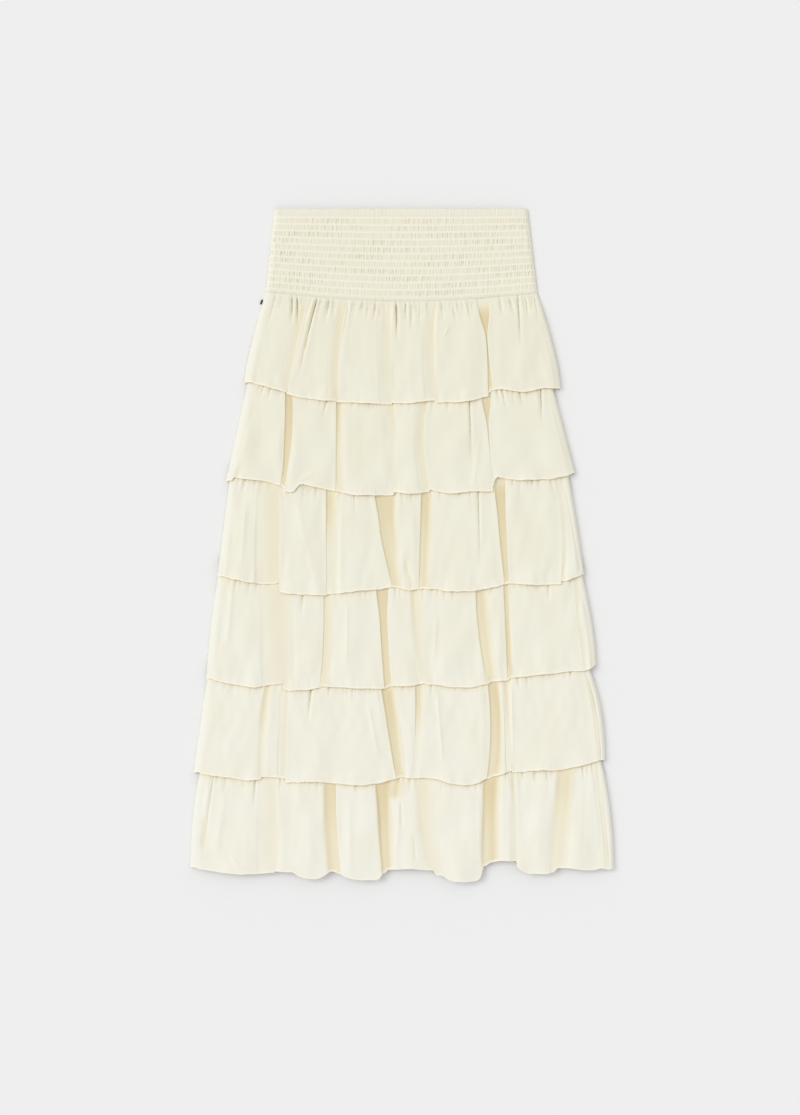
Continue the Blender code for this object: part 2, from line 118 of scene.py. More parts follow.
TIERS = (
    Tier(
        "tier_1",
        Side(seam_x=-174, hem_x=-201.5, hem_drop=224, ease=1.3),
        Side(seam_x=173, hem_x=202.5, hem_drop=231, ease=1.4),
        sag=23,
        folds=rows(
            Fold,
            (-119, -2, -147, 2.0, 1.0, 1.0, 9, LAP, 0.55, 0.5),
            (-70, -4, -83, 2.0, 1.0, 1.0, 12, LAP, 0.55, 0.6),
            (-18, -1, -13, 2.0, 1.0, 1.0, 14, 5, 0.40, 0.35),
            (42, -3, 43, 2.0, 1.0, 1.0, 12, 4, 0.40, 0.4),
            (103, 1, 113, 16, 0.9, 5.0, LAP, LAP, 1.00, 1.0),
        ),
        gathers=rows(
            Gather,
            (-161, -181, 0.34, 1.5), (-140, -141, 0.34, 3.2), (-134.5, -132, 0.42, 2.8),
            (-114, -149, 0.36, 2.8), (-107.5, -133, 0.90, 2.8), (-92, -104, 0.20, 1.2),
            (-86, -96, 0.26, 1.2), (-72, -64, 0.18, 3.0), (-67.5, -84, 0.50, 2.6),
            (-49, -54, 0.20, 1.5), (-33, -34, 0.20, 1.4), (-23, -18.5, 0.60, 1.7),
            (-8.3, -4.4, 0.42, 3.4), (4, 8, 0.12, 0.8), (16, 20, 0.15, 1.2),
            (32, 33, 0.22, 1.4), (37, 38, 0.34, 1.8), (42.5, 36, 0.56, 3.0),
            (61, 64, 0.12, 1.2), (70, 76, 0.15, 1.4), (90, 100, 0.18, 1.2),
            (147.5, 154, 0.58, 2.0), (158, 166, 0.30, 1.2), (168, 186, 0.30, 1.4),
        ),
        creases=rows(
            Crease,
            (61, 54, 0.25, 0.36, 1.6, 0.9), (-58, -58, 0.25, 0.95, 16, 0.8),
            (-172, -184, 0.35, 0.95, 9, 0.8), (20, 26, 0.3, 0.95, 12, 0.7),
            (75, 78, 0.3, 0.9, 15, 0.7), (174, 190, 0.5, 1.0, 4, 0.8),
        ),
        hem=(
            (-201.5, 223.5), (-196, 220.5), (-188, 225), (-163, 231.5), (-151, 235.5),
            (-146.4, 238), (-130, 243), (-108, 245.5), (-84, 247.5), (-64, 249), (-16, 251.5),
            (9.7, 250), (39, 246.5), (68.5, 249), (87, 247), (109, 241), (114.4, 233.5),
            (130.6, 232), (153, 236), (167.7, 234), (179, 230.5), (202, 231),
        ),
    ),
    Tier(
        "tier_2",
        Side(seam_x=-193.5, hem_x=-225, hem_drop=349, ease=1.0),
        Side(seam_x=189, hem_x=221, hem_drop=340, ease=1.0),
        sag=22,
        folds=rows(
            Fold,
            (-145.5, 4, -153, 8.0, 9.5, 4.5, LAP, LAP, 1.00, 1.0),
            (-82, 0, -83, 3.0, 3.0, 3.0, LAP, 7, 0.85, 0.7),
            (-14, 0, -10.5, 4.0, 0.8, 0.8, 7, 5, 0.45, 0.25),
            (33, -7, 35, 3.0, 1.0, 2.0, 10, LAP, 0.50, 0.5),
            (106.5, -1, 117, 14, 1.2, 0.8, LAP, LAP, 0.95, 0.25),
        ),
        gathers=rows(
            Gather,
            (-92, -112, 0.36, 2.4), (-62, -66, 0.25, 1.2), (-40, -44, 0.27, 1.6),
            (-25, -26, 0.24, 1.0), (-13, -10, 0.44, 2.6), (33, 22, 0.50, 2.8),
            (60, 62, 0.25, 1.0), (85, 89, 0.85, 2.0), (104, 112, 0.46, 2.0),
            (140, 148, 0.26, 1.0), (176, 181, 0.46, 2.6),
        ),
        creases=rows(
            Crease,
            (-199, -213, 0.2, 1.0, 5, -1.2), (-132, -137, 0.3, 0.95, 12, 0.9),
            (-70, -70, 0.2, 0.95, 5, 0.7), (-51, -50, 0.2, 0.9, 10, -0.9),
            (-24, -26, 0.2, 0.9, 7, 0.8), (12, 14, 0.3, 0.9, 12, 0.5),
            (99, 92, 0.5, 0.95, 3, 0.8), (-113, -128, 0.82, 0.95, 5, 1.0),
        ),
        hem=(
            (-224, 349.5), (-219, 343.5), (-205, 346.5), (-188.7, 347.5), (-174, 349.5),
            (-158, 355), (-152, 361.5), (-144, 363.5), (-138, 364), (-133.5, 355), (-128, 353),
            (-112, 356.5), (-84, 363), (-82, 362.5), (-64, 367), (-38, 367.5), (-10.5, 364),
            (9.7, 365.5), (34.5, 363.5), (36.5, 360.5), (57.5, 365), (70.3, 365), (87, 362.5),
            (118, 354.5), (118.3, 343.5), (138.3, 347.5), (156.7, 348), (189.7, 347),
            (210, 342.5), (221, 339),
        ),
    ),
    Tier(
        "tier_3",
        Side(seam_x=-218, hem_x=-235, hem_drop=470, ease=1.1),
        Side(seam_x=209, hem_x=232, hem_drop=469, ease=1.2),
        sag=18,
        folds=rows(
            Fold,
            (-157, 0, -157, 1.0, 1.0, 1.0, 30, LAP, 0.50, 0.5),
            (-94, 0, -95.5, 5.0, 4.0, 2.0, LAP, 12, 0.85, 0.4),
            (-24, -3, -9.5, 25, 16, 6.0, LAP, 8, 0.95, 0.95),
            (29, 0, 24.5, 6.5, 7.0, 6.0, LAP, 10, 0.95, 0.9, 0.6),
            (123.8, -0.6, 134.1, 14, 9.5, 6.0, LAP, LAP, 1.00, 1.0),
            (190, 8, 203.5, 0.6, 0.6, 0.6, LAP, 4, 0.50, 0.5),
        ),
        gathers=rows(
            Gather,
            (-205, -232, 1.0, 1.4), (-153, -154, 0.30, 1.4), (-143, -146, 0.24, 1.4),
            (-120, -122, 0.24, 1.4), (-62, -58, 0.36, 1.4), (6, 10, 0.22, 1.0),
            (60, 62, 0.22, 1.0), (72, 75, 0.24, 1.2), (96, 100, 0.95, 1.5),
            (150, 153, 0.26, 1.2), (165, 168, 0.22, 0.9),
        ),
        creases=rows(
            Crease,
            (-199, -205, 0.22, 0.9, 4, 1.4), (-135, -122, 0.2, 0.66, 4, 1.0),
            (-122, -113, 0.6, 0.9, 4, 0.9), (-77, -78, 0.2, 1.0, 4, 1.0),
            (-178, -178, 0.78, 1.0, 2.2, -1.2), (-167, -166, 0.82, 1.0, 2.2, -1.3),
            (4, 10, 0.72, 1.0, 2.6, -1.3), (14, 14, 0.3, 0.9, 4, 0.7),
            (70, 74, 0.25, 0.9, 16, 0.7), (160, 166, 0.25, 0.95, 18, -0.6),
            (204, 208, 0.85, 1.0, 2.5, -1.0),
        ),
        hem=(
            (-235, 471), (-215, 474.5), (-196, 478.5), (-174, 481.5), (-158.5, 479.5),
            (-156, 491), (-148, 493), (-130, 494), (-108, 495), (-86, 493.5), (-56.4, 489.5),
            (-27, 487.5), (-10.5, 484.5), (-6, 485), (9.7, 489.5), (20, 487.5), (26, 487),
            (42.8, 487), (57.5, 490.5), (94.2, 489.5), (120, 484.5), (130.2, 481), (138.3, 480),
            (165, 482), (189.7, 481.5), (206, 477), (212, 475.5), (232, 468.5),
        ),
    ),
    Tier(
        "tier_4",
        Side(seam_x=-231, hem_x=-249.5, hem_drop=602, ease=1.6),
        Side(seam_x=225, hem_x=248, hem_drop=585, ease=1.6),
        sag=20,
        folds=rows(
            Fold,
            (-155, 0, -152, 1.0, 1.0, 1.0, 26, 16, 0.45, 0.45),
            (-99, 3, -103, 4.0, 4.0, 4.0, LAP, 9, 0.60, 0.65),
            (-26, -1, -18, 17, 9.0, 8.5, LAP, LAP, 0.95, 1.0),
            (14, -3, 30, 2.0, 1.0, 2.0, 7, 12, 0.50, 0.4),
            (96.5, -3.5, 112, 5.0, 7.5, 8.0, LAP, 15, 0.85, 0.85, 0.4),
            (131, 0, 137, 4.5, 4.2, 4.2, LAP, 4, 0.85, 1.0),
            (219, -2, 234, 1.0, 1.0, 0.6, LAP, 4, 0.55, 0.4),
        ),
        gathers=rows(
            Gather,
            (-205, -208, 0.24, 1.0), (-180, -181, 0.22, 1.0), (-125, -130, 0.42, 2.2),
            (-118, -121, 0.22, 1.4), (-84, -86, 0.22, 1.0), (-60, -58, 0.22, 1.0),
            (13, 20, 0.60, 3.0), (46, 50, 0.24, 1.0), (70, 72, 0.22, 1.0),
            (107, 106, 0.30, 1.6), (113, 116, 0.24, 1.4), (186, 189, 0.38, 2.0),
            (160, 162, 0.22, 1.0), (205, 208, 0.24, 1.0),
        ),
        creases=rows(
            Crease,
            (-216, -224, 0.15, 0.72, 3.5, 1.3), (-232, -240, 0.3, 0.9, 4, -0.8),
            (-147.5, -146.4, 0.38, 1.0, 1.3, -1.2), (-184, -184, 0.6, 0.95, 8, 0.9),
            (-69.5, -71, 0.2, 0.82, 2.6, 1.0), (44, 41, 0.35, 0.8, 3, 1.0),
            (52, 52, 0.5, 0.9, 5, 0.5), (124, 125, 0.25, 0.95, 5, 0.8),
            (196, 192, 0.3, 0.95, 14, -0.5),
        ),
        hem=(
            (-250, 601.5), (-218, 608.5), (-188.7, 613), (-156, 608), (-150, 613), (-147, 618),
            (-126, 616), (-104, 613.5), (-86, 612), (-64, 614), (-27, 614.5), (-14, 611.5),
            (9.7, 611), (28, 607.5), (46.5, 609.5), (65, 613), (90.5, 612.5), (110.5, 608),
            (113, 605.5), (134.6, 604), (140, 600.5), (175, 597), (204.4, 593.5), (232, 591.5),
            (238, 590.5), (248, 584),
        ),
    ),
    Tier(
        "tier_5",
        Side(seam_x=-245.5, hem_x=-266.5, hem_drop=723, ease=1.1),
        Side(seam_x=231, hem_x=259.5, hem_drop=708, ease=2.2),
        sag=21,
        folds=rows(
            Fold,
            (-167, -4, -180, 1.5, 1.2, 1.0, 6, 6, 0.60, 0.4),
            (-145, 0, -149, 0.6, 0.6, 0.6, 10, LAP, 0.35, 0.35),
            (-24.5, 0, -3.5, 10, 9.0, 7.0, LAP, 9, 1.00, 1.0),
            (19, 2, 15, 5.0, 4.0, 2.0, LAP, 8, 0.80, 0.25),
            (111, 6, 114, 9.0, 11, 11, LAP, 12, 0.95, 1.0, 0.6),
            (133, -1, 141, 2.0, 1.0, 1.0, 7, 4, 0.60, 0.2),
            (226, 5, 251, 1.0, 1.0, 0.6, LAP, 3, 0.50, 0.5),
        ),
        gathers=rows(
            Gather,
            (-215, -218, 0.24, 1.0), (-169, -182, 0.42, 2.2), (-114, -124, 0.50, 2.8),
            (-92, -94, 0.24, 1.2), (-69, -70, 0.28, 1.6), (-62, -62, 0.27, 1.4),
            (-54, -52, 0.22, 1.0), (-42, -38, 0.24, 1.4), (-31, -22, 0.34, 1.8),
            (2, 2, 0.30, 1.4), (8, 9, 0.30, 1.4), (60, 62, 0.22, 1.0), (90, 92, 0.24, 1.0),
            (132, 134, 0.36, 1.8), (160, 162, 0.22, 1.0), (214, 218, 0.26, 1.4),
        ),
        creases=rows(
            Crease,
            (-242, -258, 0.2, 0.8, 4, 1.0), (-222, -222, 0.6, 0.85, 6, 0.8),
            (-148, -150, 0.45, 0.98, 1.4, -1.0), (-151, -152, 0.85, 0.98, 2.4, -1.2),
            (-111, -104, 0.5, 0.9, 6, 0.9), (-44, -30, 0.25, 0.78, 3, 1.1),
            (-4, 2, 0.4, 0.95, 2.5, 1.0), (44, 52, 0.12, 0.85, 2.6, 1.2),
            (104, 103, 0.1, 0.9, 4, 0.8), (140, 141, 0.1, 0.95, 2.6, 1.1),
            (190, 192, 0.2, 0.9, 16, -0.5), (14, 15, 0.85, 0.95, 3, 0.9),
        ),
        hem=(
            (-266, 721.5), (-262, 722.5), (-229, 727), (-200, 731.5), (-187, 731),
            (-184, 730.5), (-160, 727.5), (-151, 729.5), (-145.3, 734.5), (-111.5, 733),
            (-86, 735.5), (-52.7, 738), (-30.7, 735.5), (-5.5, 729), (1, 727.5), (12, 729),
            (28, 728.5), (46.5, 730), (61, 735.5), (79.5, 738), (94.2, 736), (101, 733.5),
            (106, 729.5), (111, 729), (114.5, 728), (123.5, 725), (139.5, 719.5), (142, 721.5),
            (178.7, 718.5), (204.4, 718.5), (230, 712.5), (250.4, 707), (258, 706),
        ),
    ),
    Tier(
        "tier_6",
        Side(seam_x=-255, hem_x=-270.5, hem_drop=841, ease=2.0),
        Side(seam_x=250, hem_x=270.5, hem_drop=844, ease=2.0),
        sag=11,
        folds=rows(
            Fold,
            (-163, 0, -163, 2.0, 2.0, 3.0, 20, 6, 0.30, 0.3),
            (-90, -2, -84, 11, 11, 12, 7, LAP, 0.85, 0.8),
            (-26.5, -1, -20.5, 14, 8.5, 6.5, 3, 9, 1.00, 1.0, 0.4),
            (28, -6, 42, 6.0, 6.0, 7.0, 10, 12, 0.45, 0.45),
            (112.5, -1, 110, 13, 10, 11, 4, 11, 1.00, 0.95, 0.8),
            (142, 2, 146, 1.0, 1.0, 1.0, 7, LAP, 0.35, 0.3),
            (210, 0, 196, 8, 9, 8, 8, 12, 0.70, 0.5, 0.7),
            (246, 0, 261, 0.6, 0.6, 0.6, LAP, 5, 0.50, 0.5),
        ),
        gathers=rows(
            Gather,
            (-238, -254, 0.95, 1.2), (-201, -203, 0.26, 1.2), (-186.5, -190, 0.42, 2.0),
            (-150, -150, 0.22, 1.0), (-128, -128, 0.22, 1.0), (-60, -58, 0.24, 1.0),
            (-45, -43, 0.22, 1.0), (62, 64, 0.24, 1.2), (84, 84, 0.22, 1.0),
            (141, 144, 0.50, 2.6), (172, 172, 0.24, 1.2), (225, 226, 0.22, 1.2),
            (236, 240, 0.26, 1.2),
        ),
        creases=rows(
            Crease,
            (-224, -237, 0.2, 0.8, 5, 1.2), (-252, -256, 0.45, 0.85, 7, -1.0),
            (-220, -205, 0.82, 0.97, 3, 0.8), (-118, -118, 0.3, 1.0, 12, 1.0),
            (-68, -66, 0.2, 0.95, 4, 0.9), (-46, -44, 0.3, 0.95, 10, 0.8),
            (-4, -6, 0.3, 0.8, 3, 0.9), (-2, 0, 0.3, 0.6, 1.6, -1.0),
            (-5, -9, 0.04, 0.33, 9, -2.6), (15, 17, 0.62, 0.95, 3, -1.0),
            (62, 66, 0.2, 0.95, 14, 0.8), (98, 99, 0.2, 0.9, 3, 0.7),
            (160, 186, 0.62, 0.7, 2.4, 1.1), (176, 172, 0.35, 0.95, 10, 0.8),
            (232, 226, 0.2, 0.9, 6, 0.9), (255, 262, 0.4, 0.95, 3, -0.8),
        ),
        hem=(
            (-270.5, 841), (-240, 846.7), (-207, 850.4), (-166, 848.5), (-150, 846.5),
            (-140, 847), (-133, 852), (-126, 855.2), (-108, 855.9), (-98, 851.5), (-92, 846.5),
            (-83, 847), (-78, 850), (-71, 854.1), (-53, 857.8), (-30, 857.5), (-26.5, 854),
            (-24.5, 847), (-18, 844.5), (-11, 844), (12, 843), (32, 845), (52, 851.5),
            (60, 857.5), (70, 860), (84, 860), (97, 858), (101.5, 854), (104, 844),
            (110.3, 837), (118, 834), (124, 833), (144.5, 833), (147, 838), (152, 845),
            (162, 849.7), (186, 849.7), (194, 846.5), (203, 842), (210, 842.3), (230, 844.2),
            (245, 845.6), (253, 842.6), (270.5, 843.5),
        ),
    ),
)
print("tiers", len(TIERS), "folds", sum(len(tier.folds) for tier in TIERS))

# %% [markdown]
# ## Lines across the skirt
# The seam of each strip runs a little above the hem of the strip before it, which hides it. A
# hem laid flat sags in the middle, because a gathered strip hangs lowest away from its sides.

# %% Seam and hem lines
OVERLAP = 22.0  # how far a hem hangs over the seam of the next ruffle
SAG_POWER = 0.6
CLEAR_OF_SEAM = 4.0  # the rest line is this far above the next seam
REST_SHARE = 0.84  # from here on a strip lies on the gathered top of the next one
BAND_LEFT_TOP, BAND_LEFT_BOTTOM = -163.0, -174.0
BAND_RIGHT_TOP, BAND_RIGHT_BOTTOM = 160.0, 173.0
BAND_LEFT_DROP, BAND_RIGHT_DROP, BAND_SAG = 106.3, 108.3, 11.3
UNDER_BAND = 0.5  # how far the first ruffle is sewn in under the band


def band_bottom(x):
    across = (x - BAND_LEFT_BOTTOM) / (BAND_RIGHT_BOTTOM - BAND_LEFT_BOTTOM)
    return mix(BAND_LEFT_DROP, BAND_RIGHT_DROP, across) + BAND_SAG * arch(across)


def hem_line(tier, x):
    across = (x - tier.left.hem_x) / (tier.right.hem_x - tier.left.hem_x)
    straight = mix(tier.left.hem_drop, tier.right.hem_drop, across)
    return straight + tier.sag * arch(across) ** SAG_POWER


def seam_line(number, x):
    if number == 0:
        return band_bottom(x) - UNDER_BAND
    return hem_line(TIERS[number - 1], x) - OVERLAP


def strip_drop(number, share, x, hem_drop):
    """The drop of each point of a strip, with its rest line just above the next seam."""
    seam = seam_line(number, x)
    if number + 1 == len(TIERS):
        return mix(seam, hem_drop, share)
    rest = seam_line(number + 1, x) - CLEAR_OF_SEAM
    above = mix(seam, rest, share / REST_SHARE)
    below = mix(rest, hem_drop, (share - REST_SHARE) / (1 - REST_SHARE))
    return np.where(share <= REST_SHARE, above, below)


# %% [markdown]
# ## The cross-section of a ruffle
# Cut across, a ruffle is a row of level panels with valleys between them. A soft valley has
# sides that roll off. A lapped one has a side that swings out to its edge and tucks back under
# itself, like a letter S, and that overhang is what gives a pressed fold its crisp dark line. A
# height map could not hold it, so the section is a list of columns whose x may run backwards.

# %% Columns of a strip
TUCK, LEAST_TUCK = 5.0, 0.9  # the widest and the narrowest lapped side
SWING = 0.35  # how far a lapped side swings out and back, as a share of its width
BEND_RADIUS = 0.42
SIDE_ROLLS = 9.0, 3.0  # of the skirt's left side and of its right side
SIDE_POWER = 1.3
FLANK_SHARE = 0.42  # a side takes at most this share of its panel
MIDWAY = 0.45  # the share that gap_mid stands at
PINCHED = 0.5  # how deep a fold is at its gathered seam, against its full depth
OPENED_AT = 0.2
FOOT_FROM, FOOT_OVER = 0.3, 0.4  # where a fold's depth goes over to its foot's
CALM_EDGE = 6.0  # relief fades out this close to a lapped edge
HEM_ROUNDING = 3.0
CRISP_STEP, CRISP_ROLL = 5.0, 5.0  # a hem that steps further than this at a crisp fold
HIDDEN = 0.6  # does so all at once, and this share of its step is on the flank
# shade that is painted into the colour of a valley, and how it spreads:
SOFT_SHADE = 0.75  # beside a soft side, against 1 beside a lapped one
LEAN_SHADE = 0.6  # how much less it is on the side that a fold leans away from
OPEN_SHADES, SHADE_REACH = (0.75, 0.35), 7.0  # in the middle of a valley, high and low
OPEN_FROM, OPEN_OVER = 0.2, 0.6
SHADE_POWER, FLANK_SHADE_POWER = 1.5, 0.7
FLANK_CALM, FLOOR_CALM = 0.8, 0.2  # what a soft flank loses of the relief, and what a floor keeps
CONTACT, CONTACT_REACH = 0.5, 2.0  # just beside a lapped side the light itself is dim enough, so less shade is painted there
CROWDING, CROWD_WIDTH = 2.4, 2.6  # columns stand closer together where the cloth is pressed
NARROW = 3.2  # only a crease narrower than this needs it
SAMPLES = 8  # places that each column is chosen from
FADE = 0.3  # a crease fades in and out over this share of its length
CROWD_PAST = 0.2  # and draws columns this far past its ends
GATHER_FAN = 1.3  # a gather fans out fastest near its seam
LEAST_COLUMNS = 3
Fineness = namedtuple("Fineness", "panel lapped soft side floor")
# Of each column: x, level from 1 on a panel to 0 at the deepest floor, how much of the relief it
# takes, its share of the panel's crown, its drop at the hem, and how much painted shade it takes.
Section = namedtuple("Section", "x level calm crown drop shade")


def side_x(side, share):
    return mix(side.seam_x, side.hem_x, 1 - (1 - share) ** side.ease)


def gather_path(gather, share):
    return mix(gather.top, gather.hem, 1 - (1 - share) ** GATHER_FAN)


def valley_edges(fold, share):
    """The x of both edges of a valley."""
    centre = mix(fold.top, fold.hem, share) + 4 * fold.bow * share * (1 - share)
    gap = mix(fold.gap_top, fold.gap_mid, float(smooth(share / MIDWAY)))
    gap = mix(gap, fold.gap_hem, float(smooth((share - MIDWAY) / (1 - MIDWAY))))
    return centre - gap / 2, centre + gap / 2


def panel_edges(tier, share):
    """The x where each panel starts, and where each ends."""
    valleys = [valley_edges(fold, share) for fold in tier.folds]
    starts = [side_x(tier.left, share)] + [right for _, right in valleys]
    ends = [left for left, _ in valleys] + [side_x(tier.right, share)]
    return starts, ends


def from_side(tier, x, share):
    """How far a point is from the nearer side of its strip."""
    return np.minimum(x - side_x(tier.left, share), side_x(tier.right, share) - x)


def edge_roll(tier, panel, at_start):
    """How far a panel's edge rolls off: LAP where it laps, None at the skirt's sides."""
    if panel == 0 and at_start or panel == len(tier.folds) and not at_start:
        return None
    return tier.folds[panel - 1].right if at_start else tier.folds[panel].left


def lap_width(height):
    """How wide a lapped side of this height is, so that it bends no tighter than it may."""
    swing = (1.125 * height) ** 2 / (4 * math.pi**2 * BEND_RADIUS)
    return float(np.clip(swing / SWING, LEAST_TUCK, TUCK))


def flank(steps, lapped, width):
    """The side of a valley: distance back from its edge, and level from 1 down to 0."""
    swing = SWING * width * np.sin(2 * np.pi * steps) if lapped else 0.0
    return width * (1 - steps) - swing, 1 - smooth(steps)


def crowded(tier, share, first, final, count):
    """Places across a panel, closer together along its gathers and its narrow creases."""
    grid = np.linspace(first, final, SAMPLES * count)
    density = np.ones_like(grid)
    for gather in tier.gathers:
        fade = 1 - smooth(share / gather.reach)
        path = gather_path(gather, share)
        density += CROWDING * fade * trough(grid - path, CROWD_WIDTH)
    for crease in tier.creases:
        along = (share - crease.start) / (crease.end - crease.start)
        if crease.width < NARROW:
            path = mix(crease.start_x, crease.end_x, along)
            fade = smooth((along + CROWD_PAST) / FADE)
            fade = fade * smooth((1 + CROWD_PAST - along) / FADE)
            density += CROWDING * fade * trough(grid - path, CROWD_WIDTH)
    total = np.concatenate([[0.0], np.cumsum((density[1:] + density[:-1]) / 2)])
    return np.interp(np.linspace(0, total[-1], count + 2)[1:-1], total, grid)


def panel_hems(tier):
    """For each panel, its own points of the hem, so that a lapped hem can step at a fold."""
    cuts = [-math.inf] + [fold.hem for fold in tier.folds] + [math.inf]
    return [
        np.array([point for point in tier.hem if low <= point[0] < high], dtype=float)
        for low, high in zip(cuts, cuts[1:])
    ]


def hem_at(points, x):
    """The drop of a panel's hem, with the corners of its table rounded."""
    shifts = HEM_ROUNDING * np.array([-1.0, -0.5, 0.0, 0.5, 1.0])
    return sum(np.interp(x + shift, points[:, 0], points[:, 1]) for shift in shifts) / len(shifts)


def valley_feet(fold, above, below):
    """The hem's drop at the two feet of a valley: a longer panel laps down over a shorter one."""
    if abs(below - above) > CRISP_STEP and min(fold.left, fold.right) < CRISP_ROLL:
        if above > below:
            return mix(above, below, HIDDEN), below
        return above, mix(below, above, HIDDEN)
    return above, below


def cross_section(tier, share, height, fine):
    """All columns of a strip at one share. Every share gives the same number of columns."""
    starts, ends = panel_edges(tier, share)
    hem_starts, hem_ends = panel_edges(tier, 1.0)
    hems = panel_hems(tier)
    start_drops = [float(hem_at(hem, edge)) for hem, edge in zip(hems, hem_starts)]
    end_drops = [float(hem_at(hem, edge)) for hem, edge in zip(hems, hem_ends)]
    last = len(tier.folds)

    def depth_at(panel, at_start):
        fold = tier.folds[panel - 1 if at_start else panel]
        depth = mix(fold.depth, fold.foot, float(smooth((share - FOOT_FROM) / FOOT_OVER)))
        return depth * mix(PINCHED, 1.0, float(smooth(share / OPENED_AT)))

    def width_at(panel, at_start):
        wanted = edge_roll(tier, panel, at_start)
        if wanted is None:
            wanted = SIDE_ROLLS[0 if at_start else 1]
        elif wanted == LAP:
            wanted = lap_width(depth_at(panel, at_start) * height)
        return min(wanted, FLANK_SHARE * (ends[panel] - starts[panel]))

    def side_columns(edge, roll, drop):
        turn = np.linspace(0, math.pi / 2, fine.side, endpoint=False)
        zero = np.zeros_like(turn)
        x = edge + roll * (1 - np.cos(turn))
        return Section(x, np.sin(turn) ** SIDE_POWER, zero, zero, zero + drop, zero)

    def floor_shade(panel, x):
        """How much painted shade the valley after a panel takes: most beside a lap, and where it
        leans.
        """
        fold = tier.folds[panel]
        left = (1.0 if fold.left == LAP else SOFT_SHADE) * (1 - LEAN_SHADE * fold.lean)
        right = (1.0 if fold.right == LAP else SOFT_SHADE) * (0.4 + LEAN_SHADE * fold.lean)
        from_left = x - ends[panel]
        left = left * np.exp(-from_left / SHADE_REACH)
        right = right * np.exp((x - starts[panel + 1]) / SHADE_REACH)
        middle = mix(*OPEN_SHADES, float(smooth((share - OPEN_FROM) / OPEN_OVER)))
        shade = mix(middle, 1.0, np.maximum(left, right))
        if fold.left == LAP:
            shade = shade * (1 - CONTACT * np.exp(-from_left / CONTACT_REACH))
        return depth_at(panel, False) ** SHADE_POWER * shade

    def drop_at(panel, x):
        across = (x - starts[panel]) / (ends[panel] - starts[panel])
        return hem_at(hems[panel], mix(hem_starts[panel], hem_ends[panel], across))

    def flank_columns(panel, at_start, foot_drop):
        depth = depth_at(panel, at_start)
        lapped = edge_roll(tier, panel, at_start) == LAP
        steps = np.linspace(0, 1, fine.lapped if lapped else fine.soft)
        back, level = flank(steps, lapped, width_at(panel, at_start))
        x = starts[panel] + back if at_start else ends[panel] - back
        calm = np.zeros_like(steps) if lapped else 1 - FLANK_CALM * smooth(steps)
        foot = starts[panel] if at_start else ends[panel]
        shade = floor_shade(panel - 1 if at_start else panel, foot)
        shade = (1 - level) ** FLANK_SHADE_POWER * shade
        edge_drop = (start_drops if at_start else end_drops)[panel]
        drop = drop_at(panel, x) + steps * (foot_drop - edge_drop)
        section = Section(x, 1 - depth * (1 - level), calm, 0 * steps, drop, shade)
        if at_start:
            return Section(*(values[::-1] for values in section))
        return section

    found = [side_columns(starts[0], width_at(0, True), start_drops[0])]
    for panel in range(last + 1):
        first = starts[panel] + width_at(panel, True)
        final = ends[panel] - width_at(panel, False)
        wanted = round((hem_ends[panel] - hem_starts[panel]) / fine.panel)
        count = max(LEAST_COLUMNS, wanted)
        x = crowded(tier, share, first, final, count)
        across = (x - starts[panel]) / (ends[panel] - starts[panel])
        calm = np.ones_like(x)
        if not edge_roll(tier, panel, True):
            calm = calm * smooth((x - first) / CALM_EDGE)
        if not edge_roll(tier, panel, False):
            calm = calm * smooth((final - x) / CALM_EDGE)
        crown = arch(across) * share
        found.append(Section(x, np.ones_like(x), calm, crown, drop_at(panel, x), 0 * x))
        if panel < last:
            feet = valley_feet(tier.folds[panel], end_drops[panel], start_drops[panel + 1])
            found.append(flank_columns(panel, False, feet[0]))
            x = np.linspace(ends[panel], starts[panel + 1], fine.floor + 2)[1:-1]
            level = 0 * x + 1 - depth_at(panel, False)
            drop = np.linspace(*feet, len(x))
            shade = floor_shade(panel, x)
            found.append(Section(x, level, 0 * x + FLOOR_CALM, 0 * x, drop, shade))
            found.append(flank_columns(panel + 1, True, feet[1]))
    right = side_columns(ends[last], -width_at(last, False), end_drops[last])
    found.append(Section(*(values[::-1] for values in right)))
    return Section(*(np.concatenate(values) for values in zip(*found)))


def hem_outline(tier, fine):
    """The finished hem as x and drop, in order of x."""
    hem = cross_section(tier, 1.0, OUTLINE_HEIGHT, fine)
    order = np.argsort(hem.x)
    return hem.x[order], hem.drop[order]


OUTLINE_HEIGHT = 8.0  # of the folds, where only the outline counts
fine_front = Fineness(panel=1.9, lapped=11, soft=8, side=6, floor=5)
print("columns", [len(hem_outline(tier, fine_front)[0]) for tier in TIERS])

# %% [markdown]
# ## Gathers, creases and ripples
# The relief of a panel is a sum of soft troughs and ridges in millimetres. Gathers fan out from
# the seam and fade. Creases run where the cloth was last bent. Under both lie small random
# gathers, one for each stretch of seam, and long, low ripples. The random numbers come from a
# seed for each tier, so the cloth is the same each time.

# %% Relief of a panel
SMALL_FIRST = 4.2, (0.06, 0.34)  # one in each stretch of so many mm, with these reaches
SMALL_OTHERS = 9.0, (0.18, 0.3)
SMALL_DEPTHS, SMALL_SPREAD = (0.5, 1.8), 0.006
RIPPLES, RIPPLE_SLOPE = 18, 0.0055
RIPPLE_LENGTHS, RIPPLE_SWELLS, RIPPLE_SLANT = (12, 75), (60, 200), 0.22
GATHER_DEPTH, GATHER_FADE_POWER = 1.7, 0.7
GATHER_WIDTHS = 1.1, 2.2  # at the seam and at its end
RISE, RISE_AT, RISE_WIDTH = 0.4, 4.0, 2.2  # of the cloth beside a gather
STEEP_SIDE, STEEP_POWER, GENTLE_POWER = 0.32, 1.6, 1.15
CREASE_PAST = 1.05  # a crease has gone a little past its end
TO_HEM = 0.97  # one that ends beyond this share runs out over the hem


